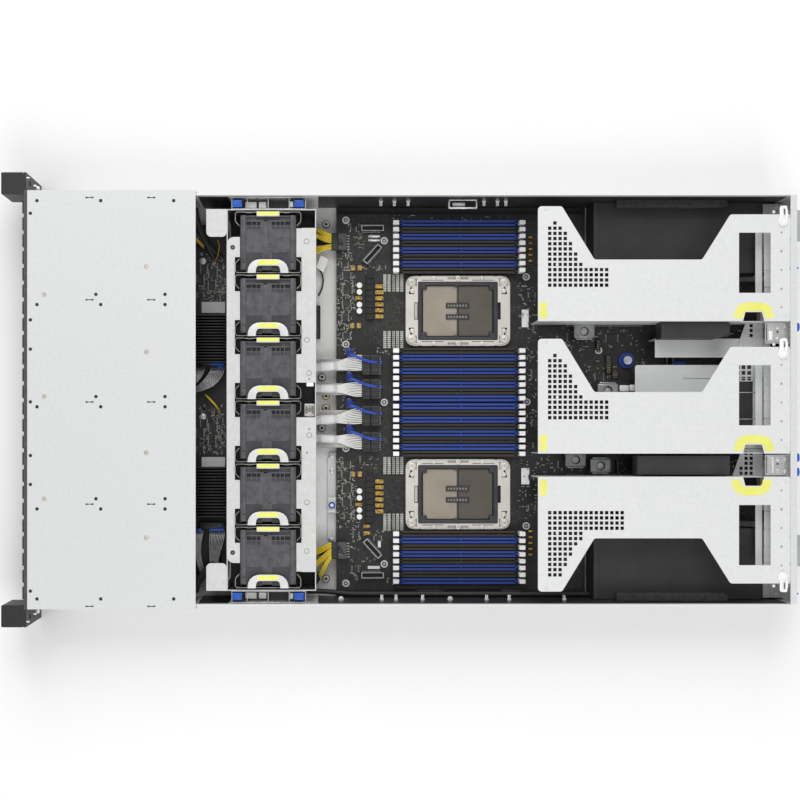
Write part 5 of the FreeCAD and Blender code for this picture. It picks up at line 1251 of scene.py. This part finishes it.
plates, rivets = [], []
for x, wide in ((-71.6, 22.8), (69.4, 22.0)):
    plate = brick(x, 396.25, wide, 29.5, (74.0, 75.2), 0.3, 1)
    plates.append(cut_from(plate, [turned(x - 1.2, 394.9, (70, 80), 1.2, 0, 16),
                                   brick(x, 383.3, wide - 4, 1.0, (70, 80))]))
    plates.append(brick(x, 410.4, wide, 1.2, (60, 75.2), 0.2, 1))
    for u in (-6.9, 6.9):
        rivets.append(turned(x + u, 395.6, (75.0, 76.0), 2.9, 0.4, 24))
        rivets.append(turned(x + u, 403.0, (75.0, 76.2), 1.9, 0.4, 20))
fasten("rail_plates", plates, bright_post)
fasten("rail_rivets", rivets, screw_steel)

# Power supplies and ports. Two steel-cased supplies slide in from the rear under the outer risers; nickel-
# plated port shells are soldered along the board's rear edge. Foam strips seal the supplies' air path to the
# side walls.

supply_steel = finish("supply steel", (0.46, 0.47, 0.48), (0.60, 0.61, 0.62), 0.4, 0.6, 40, (1, 0.1, 1), 0.06)
foam = finish("foam", (0.020, 0.020, 0.022), (0.042, 0.042, 0.045), 0.9, 0.0, 220, bump=0.4, bump_grain=1400)
dress(nickel, "rear_ports")
dress(touch_blue, "psu_latch_1", "psu_latch_2")
dress(supply_steel, "power_supply_1", "power_supply_2")
for n, x in ((1, -178.0), (2, 178.0)):
    seams = [brick(x, y, 72.0, 1.2, (42.5, 42.95), 0.15, 1) for y in (262.0, 330.0, 398.0)]
    seams += [turned(x + u, y, (42.5, 43.1), 2.2, 0.3, 16) for u in (-33.0, 33.0) for y in (240.0, 404.0)]
    fasten(f"supply_seams_{n}", seams, screw_steel, f"supply_{n}")
strips = []
for side in (-1, 1):
    strips.append(billet((side * 207.4, side * 216.9), (224.6, 341.4), (55.6, 66.6), 1.4, 3))
    strips += [brick(side * 212.1, y, 7.0, 16, (66.2, 67.2), 0.4, 1) for y in (240, 264, 288, 312, 336)]
fasten("wall_foam", strips, foam)

THUMB_Z = 60.0
heads = []
for x in (-79.1, 61.7, 77.1):
    head = lying(x, (414.55, 422.15), THUMB_Z, 4.8, 0.5, 28)
    spokes = [math.radians(turn * 30) for turn in range(12)]
    grooves = [lying(x + 5.0 * math.cos(angle), (413.85, 422.85), THUMB_Z + 5.0 * math.sin(angle), 0.5, 0, 10)
               for angle in spokes]
    heads.append(cut_from(head, grooves))
fasten("thumb_heads", heads, touch_blue)

# Outer faces of the side walls. The tub's steel is painted lighter to offset the shade inside the tub, and
# these faces, which the side lamps light fully, are painted darker again. On them: long pressed stiffening
# beads, countersunk screws, the front cover's side screws, and ringed holes that a rack slide hooks into,
# each hole's dark painted as a black disc.

OUTSIDE = 218.3
SKIN = 218.25
# Painted light and shade: the outer faces of the walls are multiplied darker than the lightened inside, as
# the side lamps fall full on them.
tree = tub_steel_painted_light.node_tree
split = add_node(tree, "SeparateXYZ", {"Vector": (tree.nodes["place"], "Object")})
from_middle = add_node(tree, "Math", {0: (split, "X")}, operation="ABSOLUTE")
outer_faces_darker = add_node(tree, "Math", {0: (from_middle, "Value"), 1: SKIN * MM}, operation="GREATER_THAN")
lay_over(tub_steel_painted_light, (outer_faces_darker, "Value"), (0.70, 0.71, 0.72, 1))

flush_model = cut_from(turned(0, 0, (-0.3, 0.5), 3.1, 0.3, 28), [turned(0, 0, (0.1, 1), 1.5, 0, 6)])
ring_model = cut_from(turned(0, 0, (-0.3, 0.45), 5.2, 0.3, 32), [turned(0, 0, (-1, 1), 3.9, 0, 32)])
# Painted shade: a black disc inside each ring stands for the dark inside the hole.
hole_shade_model = turned(0, 0, (-0.3, 0.06), 3.9, 0, 32)


def against_wall(model, side, wall, y, z):
    """A copy of a piece made upright at the origin, laid against a side wall with its top outwards."""
    return moved(copy_of(model), side * wall, y, z, side * 90, "Y")


heads, rings, holes, beads = [], [], [], []
for side in (-1, 1):
    for y, z in ((-207, 18), (-207, 72), (-118, 72), (-36, 18), (62, 72), (150, 18), (238, 72), (330, 18),
                 (398, 72), (398, 18)):
        heads.append(against_wall(flush_model, side, OUTSIDE, y, z))
    for y in (-398, -322, -248):
        heads.append(against_wall(flush_model, side, 222.3, y, 78.5))
        heads.append(against_wall(flush_model, side, 220.8, y + 20, 14))
    for y in (-160, -20, 120, 260, 370):
        rings.append(against_wall(ring_model, side, OUTSIDE, y, 44))
        holes.append(against_wall(hole_shade_model, side, OUTSIDE, y, 44))
    for span in ((-186, -4), (12, 196), (212, 386)):
        beads += [billet((side * 218.0, side * 218.75), span, (z - 2.2, z + 2.2), 0.5, 3)
                  for z in (30.0, 58.0)]
clear_away(flush_model, ring_model, hole_shade_model)
fasten("side_screws", heads, screw_steel)
fasten("side_rings", rings, galvanised)
fasten("side_hole_shade", holes, black_and_painted_shade)
fasten("side_beads", beads, tub_steel_painted_light)

# Studio. A pale floor, soft light from above, and the camera straight over the server, as the photo has it.
# The places here are in metres.

drop_selection()
bpy.ops.mesh.primitive_plane_add(size=12, location=(0, 0, -0.0005))
ground = bpy.context.object
ground.name = "studio_floor"
coat(ground, finish("studio paper", (0.96, 0.96, 0.96), (0.985, 0.985, 0.985), 0.9, 0.0, 2))

scene = bpy.context.scene
scene.world = bpy.data.worlds.new("studio")
scene.world.use_nodes = True
sky = scene.world.node_tree.nodes["Background"]
sky.inputs["Color"].default_value = (1, 1, 1, 1)
sky.inputs["Strength"].default_value = 0.52


def soft_light(name, place, size, power):
    """A wide lamp that looks at the origin."""
    lamp = bpy.data.lights.new(name, "AREA")
    lamp.shape = "RECTANGLE"
    lamp.size, lamp.size_y = size
    lamp.energy = power
    holder = bpy.data.objects.new(name, lamp)
    scene.collection.objects.link(holder)
    holder.location = place
    holder.rotation_euler = (-Vector(place)).to_track_quat("-Z", "Y").to_euler()


soft_light("left_light", (-2.1, -0.3, 2.3), (1.9, 2.6), 51)
soft_light("right_light", (2.1, 0.2, 2.2), (1.7, 2.6), 33)

lens = bpy.data.cameras.new("photo_camera")
lens.sensor_width = 36
lens.lens = 67.9
lens.shift_x = 0.10
lens.shift_y = 0.045
lens.clip_start = 0.05
eye = bpy.data.objects.new("photo_camera", lens)
scene.collection.objects.link(eye)
eye.location = (0.0384, -0.0941, 1.6881)
eye.rotation_euler = (0, 0, math.radians(90))
scene.camera = eye
scene.view_settings.view_transform = "Standard"
